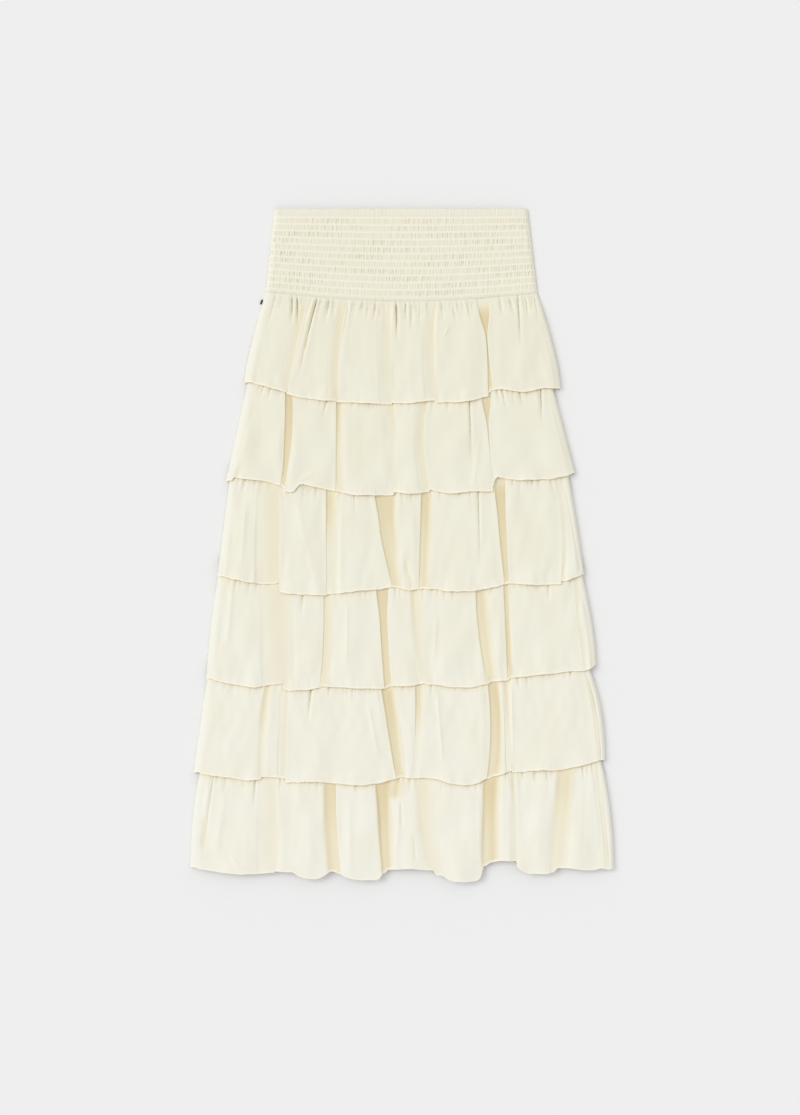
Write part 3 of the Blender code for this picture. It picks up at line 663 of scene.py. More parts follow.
def slit(distance, width):
    """A line pressed into cloth: steep on one side, gentle on the side that width points to."""
    gentle = np.exp(-np.abs(distance / width) ** GENTLE_POWER)
    steep = np.exp(-np.abs(distance / (STEEP_SIDE * width)) ** STEEP_POWER)
    return np.where(distance * width > 0, gentle, steep)


def with_small_gathers(tier, draw):
    """The tier with a small random gather in each stretch of its seam."""
    seam_width = tier.right.seam_x - tier.left.seam_x
    hem_width = tier.right.hem_x - tier.left.hem_x
    every, reaches = SMALL_FIRST if tier.name == TIERS[0].name else SMALL_OTHERS
    small = []
    for number in range(int(seam_width / every)):
        place = (number + draw.uniform(0.1, 0.9)) * every / seam_width
        top = tier.left.seam_x + place * seam_width
        hem = tier.left.hem_x + (place + draw.normal(0, SMALL_SPREAD)) * hem_width
        small.append(Gather(top, hem, draw.uniform(*reaches), draw.uniform(*SMALL_DEPTHS)))
    return tier._replace(gathers=tier.gathers + tuple(small))


def gathers_relief(tier, x, share):
    """Valleys that run down from the seam, each with a low rise on both sides."""
    relief = np.zeros_like(x)
    for gather in tier.gathers:
        path = gather_path(gather, share)
        fade = 1 - smooth(share / gather.reach)
        width = mix(*GATHER_WIDTHS, smooth(share / gather.reach))
        width = width * (1 if gather.hem > gather.top else -1)
        relief -= GATHER_DEPTH * gather.depth * fade**GATHER_FADE_POWER * slit(x - path, width)
        relief += RISE * gather.depth * fade * trough(np.abs(x - path) - RISE_AT, RISE_WIDTH)
    return relief


def creases_relief(tier, x, share):
    """Soft ridges, or grooves where the height is below 0, along each crease."""
    relief = np.zeros_like(x)
    for crease in tier.creases:
        along = (share - crease.start) / (crease.end - crease.start)
        path = mix(crease.start_x, crease.end_x, along)
        fade = smooth(along / FADE)
        if crease.end <= TO_HEM:
            fade = fade * smooth((CREASE_PAST - along) / FADE)
        relief += crease.height * fade * trough(x - path, crease.width)
    return relief


def ripples_relief(x, drop, draw):
    """Long, low waves that run mostly down the cloth, with a few across it."""
    relief = np.zeros_like(x)
    for _ in range(RIPPLES):
        length = draw.uniform(*RIPPLE_LENGTHS)
        slant = draw.normal(0, RIPPLE_SLANT)
        phase = draw.uniform(0, 2 * math.pi)
        swell = draw.uniform(*RIPPLE_SWELLS)
        swell_phase = draw.uniform(0, 2 * math.pi)
        wave = np.cos(2 * np.pi * (x + slant * drop) / length + phase)
        strength = 0.5 + 0.5 * np.cos(2 * np.pi * drop / swell + swell_phase)
        relief += RIPPLE_SLOPE * length * wave * strength
    return relief


# %% [markdown]
# ## A pile of cloth
# Each sheet has to lie on what is under it. The pile keeps a map of the highest cloth so far,
# in square cells of a millimetre, spread a little and then blurred, as cloth bridges a corner.

# %% The pile
CELL = 1.0
PILE_SIDE, PILE_ABOVE, PILE_SPARE = 300.0, 20, 60  # room beside, above and in all around it
PILE_CELLS = (int(LENGTH / CELL) + PILE_SPARE, int(2 * PILE_SIDE / CELL))
BRIDGED, BLURRED = 3, 2  # cells that the map is spread by, and then blurred by


def denser(table, times):
    """The table with points added between its rows and between its columns."""
    for axis in (0, 1):
        last = table.shape[axis] - 1
        places = np.linspace(0, last, last * times + 1)
        low = np.minimum(places.astype(int), last - 1)
        share = (places - low).reshape((-1, 1) if axis == 0 else (1, -1))
        table = mix(np.take(table, low, axis), np.take(table, low + 1, axis), share)
    return table


def averaged(heights, reach):
    """Each cell's average with the cells within reach of it, along both axes."""
    for axis in (0, 1):
        shifts = range(-reach, reach + 1)
        heights = sum(np.roll(heights, shift, axis) for shift in shifts) / len(shifts)
    return heights


class Pile:
    """A map of how high the cloth reaches that has been laid so far."""

    def __init__(self):
        self.heights = np.zeros(PILE_CELLS)

    def cells(self, x, drop):
        row = np.clip(((drop + PILE_ABOVE) / CELL).astype(int), 0, PILE_CELLS[0] - 1)
        column = np.clip(((x + PILE_SIDE) / CELL).astype(int), 0, PILE_CELLS[1] - 1)
        return row, column

    def lay(self, x, drop, z, times):
        """Add a sheet, with its table made so many times denser that it leaves no cell out."""
        x, drop, z = (denser(table, times) for table in (x, drop, z))
        np.maximum.at(self.heights, self.cells(x, drop), z)

    def top(self, x, drop):
        """The highest cloth under each point, spread and smoothed a little."""
        spread = self.heights
        for _ in range(BRIDGED):
            sides = [np.roll(spread, way, axis) for axis in (0, 1) for way in (-1, 1)]
            spread = np.maximum.reduce([spread] + sides)
        return np.maximum(averaged(spread, BLURRED), self.heights)[self.cells(x, drop)]


# %% [markdown]
# ## Sheets
# A sheet starts as a flat grid from bmesh and takes its points from a table, one row at a time
# from the hem up. Its last rows roll under into a narrow hem, and Solidify gives it the
# thickness of cloth. A UV map in metres, along the hem and up from it, is for the stitching.
#
# Point attributes carry light and shade that is painted into the colour. One is painted shade deep
# in a fold, under a hem and in a pucker, warm as light is that has bounced about in cream cloth.
# One is a painted highlight on a hem or a thread. One is a greyer painted shade along the lit left
# side and the band's top edge, and one is warm painted light just under a hem, for light that
# comes through it.

# %% Making a sheet
SHELL = 0.5  # a little thicker than the real cloth, so that its edges show
HEM_BEAD = 0.6  # radius that the hem turns under with
TINY = 1e-12
HEM_TURNS = (0.5, 1.0, 1.5)  # how far each row of the hem has turned under, in radians


def placed(x, drop, z):
    """Points in metres from an x, a drop and a height in millimetres."""
    return np.stack([x, LENGTH / 2 - drop, z], axis=-1) * MM


def rolled_hem(points, inwards):
    """The table of points, seam first, with rows added that curl its end to the inside.

    The inside is down where inwards is 1, as in the front, and up where it is -1.
    """
    along = np.gradient(points[-1], axis=0)
    down = points[-1] - points[-3]
    along /= np.linalg.norm(along, axis=1, keepdims=True) + TINY
    down -= along * np.sum(down * along, axis=1, keepdims=True)
    down /= np.linalg.norm(down, axis=1, keepdims=True) + TINY
    under = np.cross(along, down) * inwards
    bead = HEM_BEAD * MM
    turned = [
        points[-1] + bead * (math.sin(turn) * down + (1 - math.cos(turn)) * under)
        for turn in HEM_TURNS
    ]
    return np.concatenate([points, np.stack(turned)])


def with_hem_rows(values):
    """The values of a table of points, with the hem's repeated for its turned rows."""
    return np.concatenate([values] + [values[-1:]] * len(HEM_TURNS))


def cloth_sheet(name, points, material, fields, thickness=SHELL):
    """A grid laid on the points, with its thickness, UV map and attributes."""
    down, columns = points.shape[:2]
    mesh = bmesh.new()
    bmesh.ops.create_grid(mesh, x_segments=columns - 1, y_segments=down - 1, size=1)
    data = bpy.data.meshes.new(name)
    mesh.to_mesh(data)
    mesh.free()
    table = points[::-1]
    data.vertices.foreach_set("co", table.reshape(-1).astype(np.float32))
    steps = np.linalg.norm(np.diff(table, axis=0), axis=2)
    up_from_hem = np.concatenate([np.zeros((1, columns)), np.cumsum(steps, axis=0)])
    places = np.stack([table[..., 0], up_from_hem], axis=-1).reshape(-1, 2)
    corners = np.empty(len(data.loops), dtype=np.int32)
    data.loops.foreach_get("vertex_index", corners)
    layer = data.uv_layers.new(name="cloth")
    layer.data.foreach_set("uv", places[corners].reshape(-1).astype(np.float32))
    for key, values in fields:
        field = data.attributes.new(key, "FLOAT", "POINT")
        field.data.foreach_set("value", values[::-1].reshape(-1).astype(np.float32))
    data.materials.append(material)
    data.shade_smooth()
    data.update()
    sheet = bpy.data.objects.new(name, data)
    bpy.context.scene.collection.objects.link(sheet)
    wall = sheet.modifiers.new("wall", "SOLIDIFY")
    wall.thickness = thickness * MM
    wall.offset = 0.0
    return sheet


# %% [markdown]
# ## Materials
# Each material is a principled shader with nodes that vary its colour and its bumps. One
# function adds a node. The inputs are a tuple in the node's own order or a dict, and it hands
# back the node's outputs. A Mix node for colours has its two colours in places 6 and 7.

# %% Nodes
SPECULAR, SHEEN_ROUGHNESS = 0.3, 0.5
MATH, MIX, RANGE = "ShaderNodeMath", "ShaderNodeMix", "ShaderNodeMapRange"
NOISE, WAVE, BUMP = "ShaderNodeTexNoise", "ShaderNodeTexWave", "ShaderNodeBump"
MAPPING, PLACE = "ShaderNodeMapping", "ShaderNodeTexCoord"
PARTS, ATTRIBUTE = "ShaderNodeSeparateXYZ", "ShaderNodeAttribute"


def add_node(material, kind, inputs=(), **settings):
    """Add a node and hand back its outputs. An input is a socket, a hex colour or a value."""
    node = material.node_tree.nodes.new(kind)
    for key, value in settings.items():
        setattr(node, key, value)
    for key, value in inputs.items() if isinstance(inputs, dict) else enumerate(inputs):
        if isinstance(value, bpy.types.NodeSocket):
            material.node_tree.links.new(value, node.inputs[key])
        else:
            node.inputs[key].default_value = linear(value) if isinstance(value, str) else value
    return node.outputs


def new_material(name, colour, roughness, sheen):
    material = bpy.data.materials.new(name)
    material.use_nodes = True
    shader = material.node_tree.nodes["Principled BSDF"]
    shader.inputs["Base Color"].default_value = linear(colour)
    shader.inputs["Roughness"].default_value = roughness
    shader.inputs["Specular IOR Level"].default_value = SPECULAR
    shader.inputs["Sheen Weight"].default_value = sheen
    shader.inputs["Sheen Roughness"].default_value = SHEEN_ROUGHNESS
    return material, shader


def dress(material, shader, colour, bump):
    material.node_tree.links.new(colour, shader.inputs["Base Color"])
    material.node_tree.links.new(bump, shader.inputs["Normal"])


print("materials at the start", len(bpy.data.materials))

# %% [markdown]
# ## Satin-backed crepe
# The threads of crepe are twisted hard, which gives the eye a dry, softly shining surface with
# a fine crinkle. The real crinkle is finer than a millimetre and wouldn't show, so it is drawn
# coarser, as faint bumps that run down the skirt. The cream is laid over itself in coats. Some
# follow the height on the skirt or a noise, and the rest follow the attributes of the sheets and
# paint light and shade into the colour: a warm tan painted shade deep in a fold and under a hem, a
# painted highlight on an edge, a greyer painted shade along the lit left side, and warm painted
# light just under a hem. The stitching of a hem is a faint dashed line.

# %% Crepe
WAIST_CREAM, FOOT_CREAM, CLOUD_CREAM = "#EFECD9", "#F5F3E6", "#EFE8CE"
# painted shade, a warm tan, light and deep; the light one also colours the stitches
SHADE_AND_STITCH_CREAM, DEEP_SHADE_CREAM = "#F1E8CC", "#DFCEA1"
# painted shade, a greyer cream, along the lit left side and the band's top edge
EDGE_SHADE_CREAM = "#EFEEE4"
# a painted highlight, and warm painted light just under a hem
HIGHLIGHT_CREAM, PAINTED_LIGHT_CREAM = "#FFFAED", "#FFF3D6"
CREPE_ROUGHNESS, CREPE_SHEEN = 0.6, 0.12
FOOT_Y, WAIST_Y = -0.43, 0.33  # the cream changes from the foot's to the waist's between these
CLOUD_SCALE, CLOUDS = 22.0, (0.35, 0.65, 0.0, 0.2)  # faint patches about 45 mm across
HALF_SHADE = 0.4  # where painted shade has reached the lighter shade cream, on its way to the deep one
CRINKLE_SCALE, UPRIGHT = 260.0, (1.0, 0.22, 1.0)  # bumps about 4 mm across and 17 mm long
STITCH_UP, STITCH_HALF, STITCH_PITCH = 0.0034, 0.00035, 0.003  # metres, as the UV map is
STITCH_LONG, STITCH_SHOWS = 0.75, 0.35


def stitches(material):
    """A faint dashed line a little above the hem, from the sheet's own UV map."""
    spot = add_node(material, "ShaderNodeUVMap", uv_map="cloth")["UV"]
    along, up, _ = add_node(material, PARTS, (spot,))
    chains = (
        (up, ("SUBTRACT", STITCH_UP), ("ABSOLUTE", 0.0), ("LESS_THAN", STITCH_HALF)),
        (along, ("DIVIDE", STITCH_PITCH), ("FRACT", 0.0), ("LESS_THAN", STITCH_LONG)),
    )
    shown = []
    for value, *steps in chains:
        for operation, number in steps:
            value = add_node(material, MATH, (value, number), operation=operation)[0]
        shown.append(value)
    shown = add_node(material, MATH, shown, operation="MULTIPLY")[0]
    return add_node(material, MATH, (shown, STITCH_SHOWS), operation="MULTIPLY")[0]


def crepe(name, stitched):
    """Cream crepe: a base that changes down the skirt, a noise, coats of painted light and shade,
    and stitches where asked.
    """
    material, shader = new_material(name, FOOT_CREAM, CREPE_ROUGHNESS, CREPE_SHEEN)
    place = add_node(material, PLACE)["Object"]
    cloud = {"Vector": place, "Scale": CLOUD_SCALE, "Detail": 2.0}
    cloud = add_node(material, NOISE, cloud)["Fac"]
    pale, hollow, painted_highlight, lit = (
        add_node(material, ATTRIBUTE, attribute_name=key)["Fac"]
        for key in ("pale", "hollow", "painted_highlight", "lit")
    )
    upwards = add_node(material, PARTS, (place,))["Y"]
    height = add_node(material, RANGE, (upwards, FOOT_Y, WAIST_Y, 0.0, 1.0))[0]
    coats = [
        (height, WAIST_CREAM),
        (add_node(material, RANGE, (cloud, *CLOUDS))[0], CLOUD_CREAM),
        # these coats paint light and shade into the colour
        (pale, EDGE_SHADE_CREAM),
        (add_node(material, RANGE, (hollow, 0.0, HALF_SHADE, 0.0, 1.0))[0], SHADE_AND_STITCH_CREAM),
        (add_node(material, RANGE, (hollow, HALF_SHADE, 1.0, 0.0, 1.0))[0], DEEP_SHADE_CREAM),
        (painted_highlight, HIGHLIGHT_CREAM),
        (lit, PAINTED_LIGHT_CREAM),
    ]
    if stitched:
        coats.append((stitches(material), SHADE_AND_STITCH_CREAM))
    colour = FOOT_CREAM
    for share, coat in coats:
        colour = add_node(material, MIX, {0: share, 6: colour, 7: coat}, data_type="RGBA")[2]
    upright = add_node(material, MAPPING, {"Vector": place, "Scale": UPRIGHT})["Vector"]
    crinkle = {"Vector": upright, "Scale": CRINKLE_SCALE, "Detail": 4.0, "Roughness": 0.6}
    crinkle = add_node(material, NOISE, crinkle)["Fac"]
    bump = add_node(material, BUMP, {"Height": crinkle, "Strength": 0.25, "Distance": 0.0006})
    dress(material, shader, colour, bump["Normal"])
    return material


CREPE = crepe("satin_backed_crepe", stitched=True)
SHIRRED = crepe("shirred_crepe", stitched=False)
print("cloth", CREPE.name, SHIRRED.name)

# %% [markdown]
# ## Black woven tape
# The tab is a narrow tape, woven and matt. Its weft makes fine ribs across it, which break what
# light it throws back into points. The pattern is turned with the tab.

# %% Tape
TAB_SLANT = -20.0
TAPE_RIBS = 1000.0  # a wave of scale 1 repeats each 0.31 m, so these ribs are 0.3 mm apart


def woven_tape():
    material, shader = new_material("black_woven_tape", "#16161A", 0.7, 0.1)
    place = add_node(material, PLACE)["Object"]
    turn = (0.0, 0.0, math.radians(-TAB_SLANT))
    turned = add_node(material, MAPPING, {"Vector": place, "Rotation": turn})["Vector"]
    ribs = {"Vector": turned, "Scale": TAPE_RIBS}
    ribs = add_node(material, WAVE, ribs, bands_direction="Y")["Fac"]
    threads = add_node(material, WAVE, {"Vector": turned, "Scale": 2 * TAPE_RIBS})["Fac"]
    weave = add_node(material, MATH, (ribs, threads), operation="MULTIPLY")[0]
    mix_inputs = {0: weave, 6: "#101013", 7: "#34343A"}
    colour = add_node(material, MIX, mix_inputs, data_type="RGBA")[2]
    bump = add_node(material, BUMP, {"Height": weave, "Strength": 0.5, "Distance": 0.0001})
    dress(material, shader, colour, bump["Normal"])
    return material


TAPE = woven_tape()
print("materials", [material.name for material in bpy.data.materials])

# %% [markdown]
# ## The back
# The back halves lie on the surface, outer side down. Their valleys rise a little off it, and
# each gathered top is lifted over the hem that lies under it. They are coarser than the front,
# because they show only at the edges.

# %% Back ruffles
BACK_SEED = 600
BACK_LIFT, LIFTED_TO, LIFTED_OVER = 1.9, 0.19, 0.11
BACK_TROUGH = 1.7
BACK_HEM_RISE = 7.0
BACK_SHORTER = 4.0  # it ends at least this far above the front's hem, and so is hidden by it
BACK_ROWS, BACK_HEM_POINTS = 26, 25
BACK_FOLD_HEIGHT = 3.0
BACK_EDGE = 12  # relief fades out this close to a side
BACK_FREE_FROM, BACK_FREE_OVER = 0.2, 0.2
BACK_GATHERS, BACK_RIPPLES = 0.55, 0.5  # of the front's relief
BACK_SHADE = 0.25
TURNED_FROM = 0.96  # the turned hem stands a little higher than the sheet
BACK_DENSER, FRONT_DENSER = 6, 3
fine_back = Fineness(panel=6.0, lapped=6, soft=5, side=4, floor=1)


def turned_round(tier):
    """The back of a tier: the front's folds seen from behind, between the same side seams."""
    across = np.linspace(0, 1, BACK_HEM_POINTS)
    x = mix(tier.left.hem_x, tier.right.hem_x, across)
    bow = arch(across) ** 0.5
    hidden = np.interp(x, *zip(*tier.hem)) - BACK_SHORTER * bow
    drop = np.minimum(hem_line(tier, x) - BACK_HEM_RISE * bow, hidden)
    folds = tuple(
        fold._replace(
            top=-fold.top, bow=-fold.bow, hem=-fold.hem, left=fold.right, right=fold.left
        )
        for fold in reversed(tier.folds)
    )
    gathers = tuple(g._replace(top=-g.top, hem=-g.hem) for g in tier.gathers)
    creases = tuple(c._replace(start_x=-c.start_x, end_x=-c.end_x) for c in tier.creases)
    return tier._replace(folds=folds, gathers=gathers, creases=creases, hem=tuple(zip(x, drop)))


def stacked(tier, shares, heights, fine):
    """The cross-sections at all shares, as tables with a row for each."""
    sections = [cross_section(tier, s, h, fine) for s, h in zip(shares, heights)]
    return Section(*(np.stack(values) for values in zip(*sections)))


def back_ruffle(number, pile):
    draw = np.random.default_rng(BACK_SEED + number)
    tier = with_small_gathers(turned_round(TIERS[number]), draw)
    shares = np.linspace(0, 1, BACK_ROWS)
    part = stacked(tier, shares, np.full(BACK_ROWS, BACK_FOLD_HEIGHT), fine_back)
    share = np.repeat(shares[:, None], part.x.shape[1], axis=1)
    drop = mix(seam_line(number, part.x), part.drop, share)
    lifted = 1 - smooth((share - LIFTED_TO) / LIFTED_OVER) if number > 0 else 0.0
    free = smooth((share - BACK_FREE_FROM) / BACK_FREE_OVER)
    free = free * smooth((REST_SHARE - share) / BACK_FREE_OVER)
    sides = smooth(from_side(tier, part.x, share) / BACK_EDGE)
    relief = -gathers_relief(tier, part.x, share) * (BACK_GATHERS * sides)
    relief += np.abs(ripples_relief(part.x, drop, draw)) * BACK_RIPPLES * sides * free
    z = SHELL / 2 + lifted * BACK_LIFT + BACK_TROUGH * free * sides * (1 - part.level)
    z = z + np.maximum(relief, 0)
    points = rolled_hem(placed(part.x, drop, z), -1)
    points[..., 2] = np.maximum(points[..., 2], SHELL / 2 * MM)  # it lies on the surface
    turned_up = HEM_BEAD * smooth((share - TURNED_FROM) / (1 - TURNED_FROM))
    pile.lay(part.x, drop, z + SHELL / 2 + turned_up, BACK_DENSER)
    # painted shade in the valleys of the back
    fields = (("hollow", with_hem_rows(BACK_SHADE * (1 - part.level) * sides)),)
    return cloth_sheet(tier.name + "_back_cloth", points, CREPE, fields)


pile = Pile()
back_sheets = [back_ruffle(number, pile) for number in range(len(TIERS))]
print("back", [sheet.name for sheet in back_sheets])

# %% [markdown]
# ## The front
# The front ruffles are laid from the bottom one up, so that each hem comes down on the gathered
# top of the next. Their panels rise from the seam to the hem, and the floors of their valleys
# sink on to the cloth below.

# %% Heights of the front
CREST_BAND, CREST_SEAM, CREST_HEM, LIFTED_AT = 4.9, 7.0, 9.5, 0.26
FLOOR_BAND, FLOOR_SEAM = 3.6, 5.6  # where a full valley's floor lies, at its seam
FLOOR_MID, FLOOR_HEM = 7.5, 7.9  # midway and at its hem
FREE_FLOOR = 7.0  # and where it lies in the last ruffle, which has none under it
MID_AT, HEM_FROM, HEM_OVER = 0.4, 0.5, 0.4
STEEPEST = 0.2  # how fast a valley's floor climbs to the gathered top that it lies on
FRONT_SHARES = np.concatenate(
    [
        np.linspace(0, 0.35, 24, endpoint=False),
        np.linspace(0.35, 0.84, 20, endpoint=False),
        np.linspace(0.84, 0.965, 9, endpoint=False),
        np.linspace(0.965, 1.0, 7),
    ]
)


def crests_and_floors(number):
    """How high a ruffle's panels and its full valleys lie, from the seam to the hem."""
    rests = number + 1 < len(TIERS)
    crest, floor = (CREST_SEAM, FLOOR_SEAM) if number else (CREST_BAND, FLOOR_BAND)
    crests = mix(crest, CREST_HEM, smooth(FRONT_SHARES / LIFTED_AT))
    floors = mix(floor, FLOOR_MID if rests else FREE_FLOOR, smooth(FRONT_SHARES / MID_AT))
    if rests:
        floors = mix(floors, FLOOR_HEM, smooth((FRONT_SHARES - HEM_FROM) / HEM_OVER))
    return crests, floors


def sloped(floor, drop):
    """The floor, raised above each step so that it comes up to it on a slope."""
    for row in range(len(drop) - 2, -1, -1):
        climb = STEEPEST * np.abs(drop[row + 1] - drop[row])
        floor[row] = np.maximum(floor[row], floor[row + 1] - climb)
    return floor


print("front rows", len(FRONT_SHARES))

# %% [markdown]
# ## Relief and light of the front
# Gathers are deepest just under the seam, because the thread holds them flat in the seam itself.
# Shade is painted into the colour deep in a fold, in a pressed gather and just under a hem, warm
# as light is that has passed through cloth. Warm light is painted just under a hem too, and a
# greyer shade is painted along the lit left side. Those places are kept as attributes, which the
# material reads.

# %% Relief and light of a front ruffle
SEWN, SEWN_OVER = 0.1, 0.06  # how deep a gather is in the seam, and where it is whole
LEAST_PRESSED = 0.2  # relief that is less deep than this takes no painted shade
RIPPLED_AT = 0.15
HEM_WAVES, WAVE_LENGTHS, WAVE_HEIGHT = 9, (12, 50), 0.3  # in the outline of a hem
SWELL_LENGTHS, SWELL_HEIGHT, SWELL_FROM = (22, 70), 0.5, 0.7  # and in its height
# how much shade is painted deep in folds and in pressed gathers
FOLD_SHADE, GATHER_SHADE = 1.0, 0.26
SHADE_IN, SHADE_AT = 10, 0.1  # where shade is whole, from the sides and from the seam
EDGE_SHADE_SHARE, EDGE_SHADE_REACH = 0.8, 14.0  # painted shade, a greyer cream, near its lit left side
# painted shade just under a hem
HEM_SHADE, HEM_SHADE_REACH = 0.6, 1.8
PAINTED_LIGHT_BELOW, PAINTED_LIGHT_REACH = 0.9, 2.6  # painted light, a warm cream under a hem, for light that comes through its thin cloth
HEM_UP = 1.5  # a hem that lies on cloth is nearer the eye, and turns a little under


def uneven(x, draw, lengths, height):
    """A sum of random waves along a hem, so that no two stretches are alike."""
    waves = [
        np.cos(2 * np.pi * x / draw.uniform(*lengths) + draw.uniform(0, 2 * math.pi))
        for _ in range(HEM_WAVES)
    ]
    return height * sum(waves) / math.sqrt(HEM_WAVES)


def front_relief(tier, part, share, drop, draw):
    """Gathers, creases, ripples and the swell of the hem, and how deep it is pressed in."""
    relief = gathers_relief(tier, part.x, share) * mix(SEWN, 1.0, smooth(share / SEWN_OVER))
    relief += creases_relief(tier, part.x, share)
    pressed = np.clip(-relief * part.calm - LEAST_PRESSED, 0, None)
    relief += ripples_relief(part.x, drop, draw) * smooth(share / RIPPLED_AT)
    swell = uneven(part.x, draw, SWELL_LENGTHS, SWELL_HEIGHT)
    relief += swell * smooth((share - SWELL_FROM) / 0.3)
    return relief * part.calm, pressed


def front_light(number, part, share, drop, pressed):
    """How much painted shade, greyer painted edge shade and painted light each point takes."""
    tier = TIERS[number]
    inwards = from_side(tier, part.x, share)
    hollow = FOLD_SHADE * part.shade * smooth(inwards / SHADE_IN) * smooth(share / SHADE_AT)
    hollow += GATHER_SHADE * pressed
    pale = EDGE_SHADE_SHARE * (1 - smooth((part.x - side_x(tier.left, share)) / EDGE_SHADE_REACH))
    lit = np.zeros_like(hollow)
    if number > 0:
        below_hem = drop - np.interp(part.x, *hem_outline(TIERS[number - 1], fine_front)) + HEM_UP
        below_hem = np.clip(below_hem, 0, None)
        hollow += HEM_SHADE * np.exp(-below_hem / HEM_SHADE_REACH)
        lit = PAINTED_LIGHT_BELOW * np.exp(-below_hem / PAINTED_LIGHT_REACH)
    return hollow, pale, lit


# painted light, a warm cream just under each hem
print("light through a hem reaches", PAINTED_LIGHT_REACH, "mm")

# %% [markdown]
# ## Laying the front ruffles
# Each ruffle rests on the pile that the ones below it make, and is added to the pile in its
# turn. A ridge just above its hem stands for the rolled edge, which catches the light, and a
# painted highlight brightens it further.

# %% Front ruffles
FRONT_SEED = 40
LAY_GAP = 0.2
LEAST_FOLD, FOLD_AT = 0.8, 0.6
CLEAR_OF_PILE = 0.1
FLOOR_EDGE = 8  # full valleys are this far from a side
HEM_CLEAR, HEM_CLEAR_FROM = 0.6, 0.9  # of the hem's bead, which has to clear the pile too
PANEL_CROWN = 0.9
SIDE_LEVEL, SIDE_FALL = 0.74, 60.0  # a strip is thinner near its sides
HEM_RIDGE, HEM_RIDGE_AT, HEM_RIDGE_WIDTH = 0.35, 1.5, 1.1
# a painted highlight along the rolled edge of the hem
HEM_HIGHLIGHT, HEM_HIGHLIGHT_REACH = 0.8, 1.5
TURNED_SHADE, TURNED_PAINTED_LIGHT = 0.4, 0.8  # painted shade and painted light of the hem's rows that have turned under
Laid = namedtuple("Laid", "name x drop z hollow pale lit")


def lay_front_ruffle(number, pile):
    draw = np.random.default_rng(FRONT_SEED + number)
    tier = with_small_gathers(TIERS[number], draw)
    rests = number + 1 < len(TIERS)
    crests, floors = crests_and_floors(number)
    part = stacked(tier, FRONT_SHARES, crests - floors, fine_front)
    share = np.repeat(FRONT_SHARES[:, None], part.x.shape[1], axis=1)
    hem_drop = part.drop + uneven(part.x, draw, WAVE_LENGTHS, WAVE_HEIGHT) - HEM_UP * rests
    drop = strip_drop(number, share, part.x, hem_drop)
    inwards = from_side(tier, part.x, share)
    clear = HEM_CLEAR * HEM_BEAD * smooth((share - HEM_CLEAR_FROM) / 0.1)
    under = pile.top(part.x, drop) + LAY_GAP + SHELL / 2 + clear
    floor = np.maximum(under, floors[:, None] * smooth(inwards / FLOOR_EDGE))
    floor = sloped(floor, drop)
    relief, pressed = front_relief(tier, part, share, drop, draw)
    side_level = mix(SIDE_LEVEL, 1.0, smooth(inwards / SIDE_FALL))
    least = floor + LEAST_FOLD * smooth(share / FOLD_AT)
    crest = np.maximum(crests[:, None] * side_level, least)
    raised = np.maximum(crest + relief, under + CLEAR_OF_PILE)
    z = mix(floor, raised, part.level) + PANEL_CROWN * part.crown
    above_hem = hem_drop - drop
    z += HEM_RIDGE * np.exp(-(((above_hem - HEM_RIDGE_AT) / HEM_RIDGE_WIDTH) ** 2))
    pile.lay(part.x, drop, z + SHELL / 2, FRONT_DENSER)
    light = front_light(number, part, share, drop, pressed)
    return Laid(tier.name + "_front_cloth", part.x, drop, z, *light)


def front_cloth(laid):
    points = rolled_hem(placed(laid.x, laid.drop, laid.z), 1)
    above_hem = laid.drop[-1:] - laid.drop
    # a painted highlight along the hem, and painted shade and light on its turned rows
    painted_highlight = with_hem_rows(HEM_HIGHLIGHT * np.exp(-((above_hem / HEM_HIGHLIGHT_REACH) ** 2)))
    hollow = with_hem_rows(np.clip(laid.hollow, 0, 1)) * (1 - painted_highlight)
    pale, lit = with_hem_rows(laid.pale), with_hem_rows(laid.lit)
    painted_highlight[-2:], hollow[-2:], lit[-3:] = 0.0, TURNED_SHADE, TURNED_PAINTED_LIGHT
    fields = (("hollow", hollow), ("painted_highlight", painted_highlight), ("pale", pale), ("lit", lit))
    return cloth_sheet(laid.name, points, CREPE, fields)


laid_fronts = [lay_front_ruffle(number, pile) for number in reversed(range(len(TIERS)))]
front_sheets = {laid.name.split("_front")[0]: front_cloth(laid) for laid in laid_fronts}
print("front", list(front_sheets))

# %% [markdown]
# ## The shirred waistband
# Twelve rows of elastic thread pull the band in. Between them the cloth puffs up and breaks
# into small upright puckers, each a few millimetres wide and each a dark tick, deepened with
# painted shade. Just under a thread the cloth springs up, and that slope catches the light as a
# thin, bright line, brightened with a painted highlight.

# %% Lanes of the waistband
THREADS = 12
FIRST_THREAD, LAST_THREAD = 0.097, 0.951
LANE = (LAST_THREAD - FIRST_THREAD) / (THREADS - 1)  # from one thread to the next
HEADER_ROWS, FOOT_ROWS = 7, 5
BAND_WIDTH = BAND_RIGHT_BOTTOM - BAND_LEFT_BOTTOM
PUCKER, CLOSEST = 2.9, 1.8  # from one pucker to the next, on average and at least
SLANT = 0.8  # a tick leans by this much over its lane
LEVEL_PUFF = 0.35  # a puff sinks to this share of its height
SPRING = 0.16  # share of a lane in which the cloth springs up under a thread
TICK_ENDS = 0.25  # share of a lane over which a tick fades out
THREAD_AT, THREAD_WIDE = 0.07, 0.1


def band_rows(steps):
    """Rows down the band: a few in each lane between threads, closest under the thread."""
    lanes = [FIRST_THREAD + LANE * (lane + step) for lane in range(THREADS - 1) for step in steps]
    header = list(np.linspace(0, FIRST_THREAD, HEADER_ROWS, endpoint=False))
    return np.array(header + lanes + list(np.linspace(LAST_THREAD, 1.0, FOOT_ROWS)))


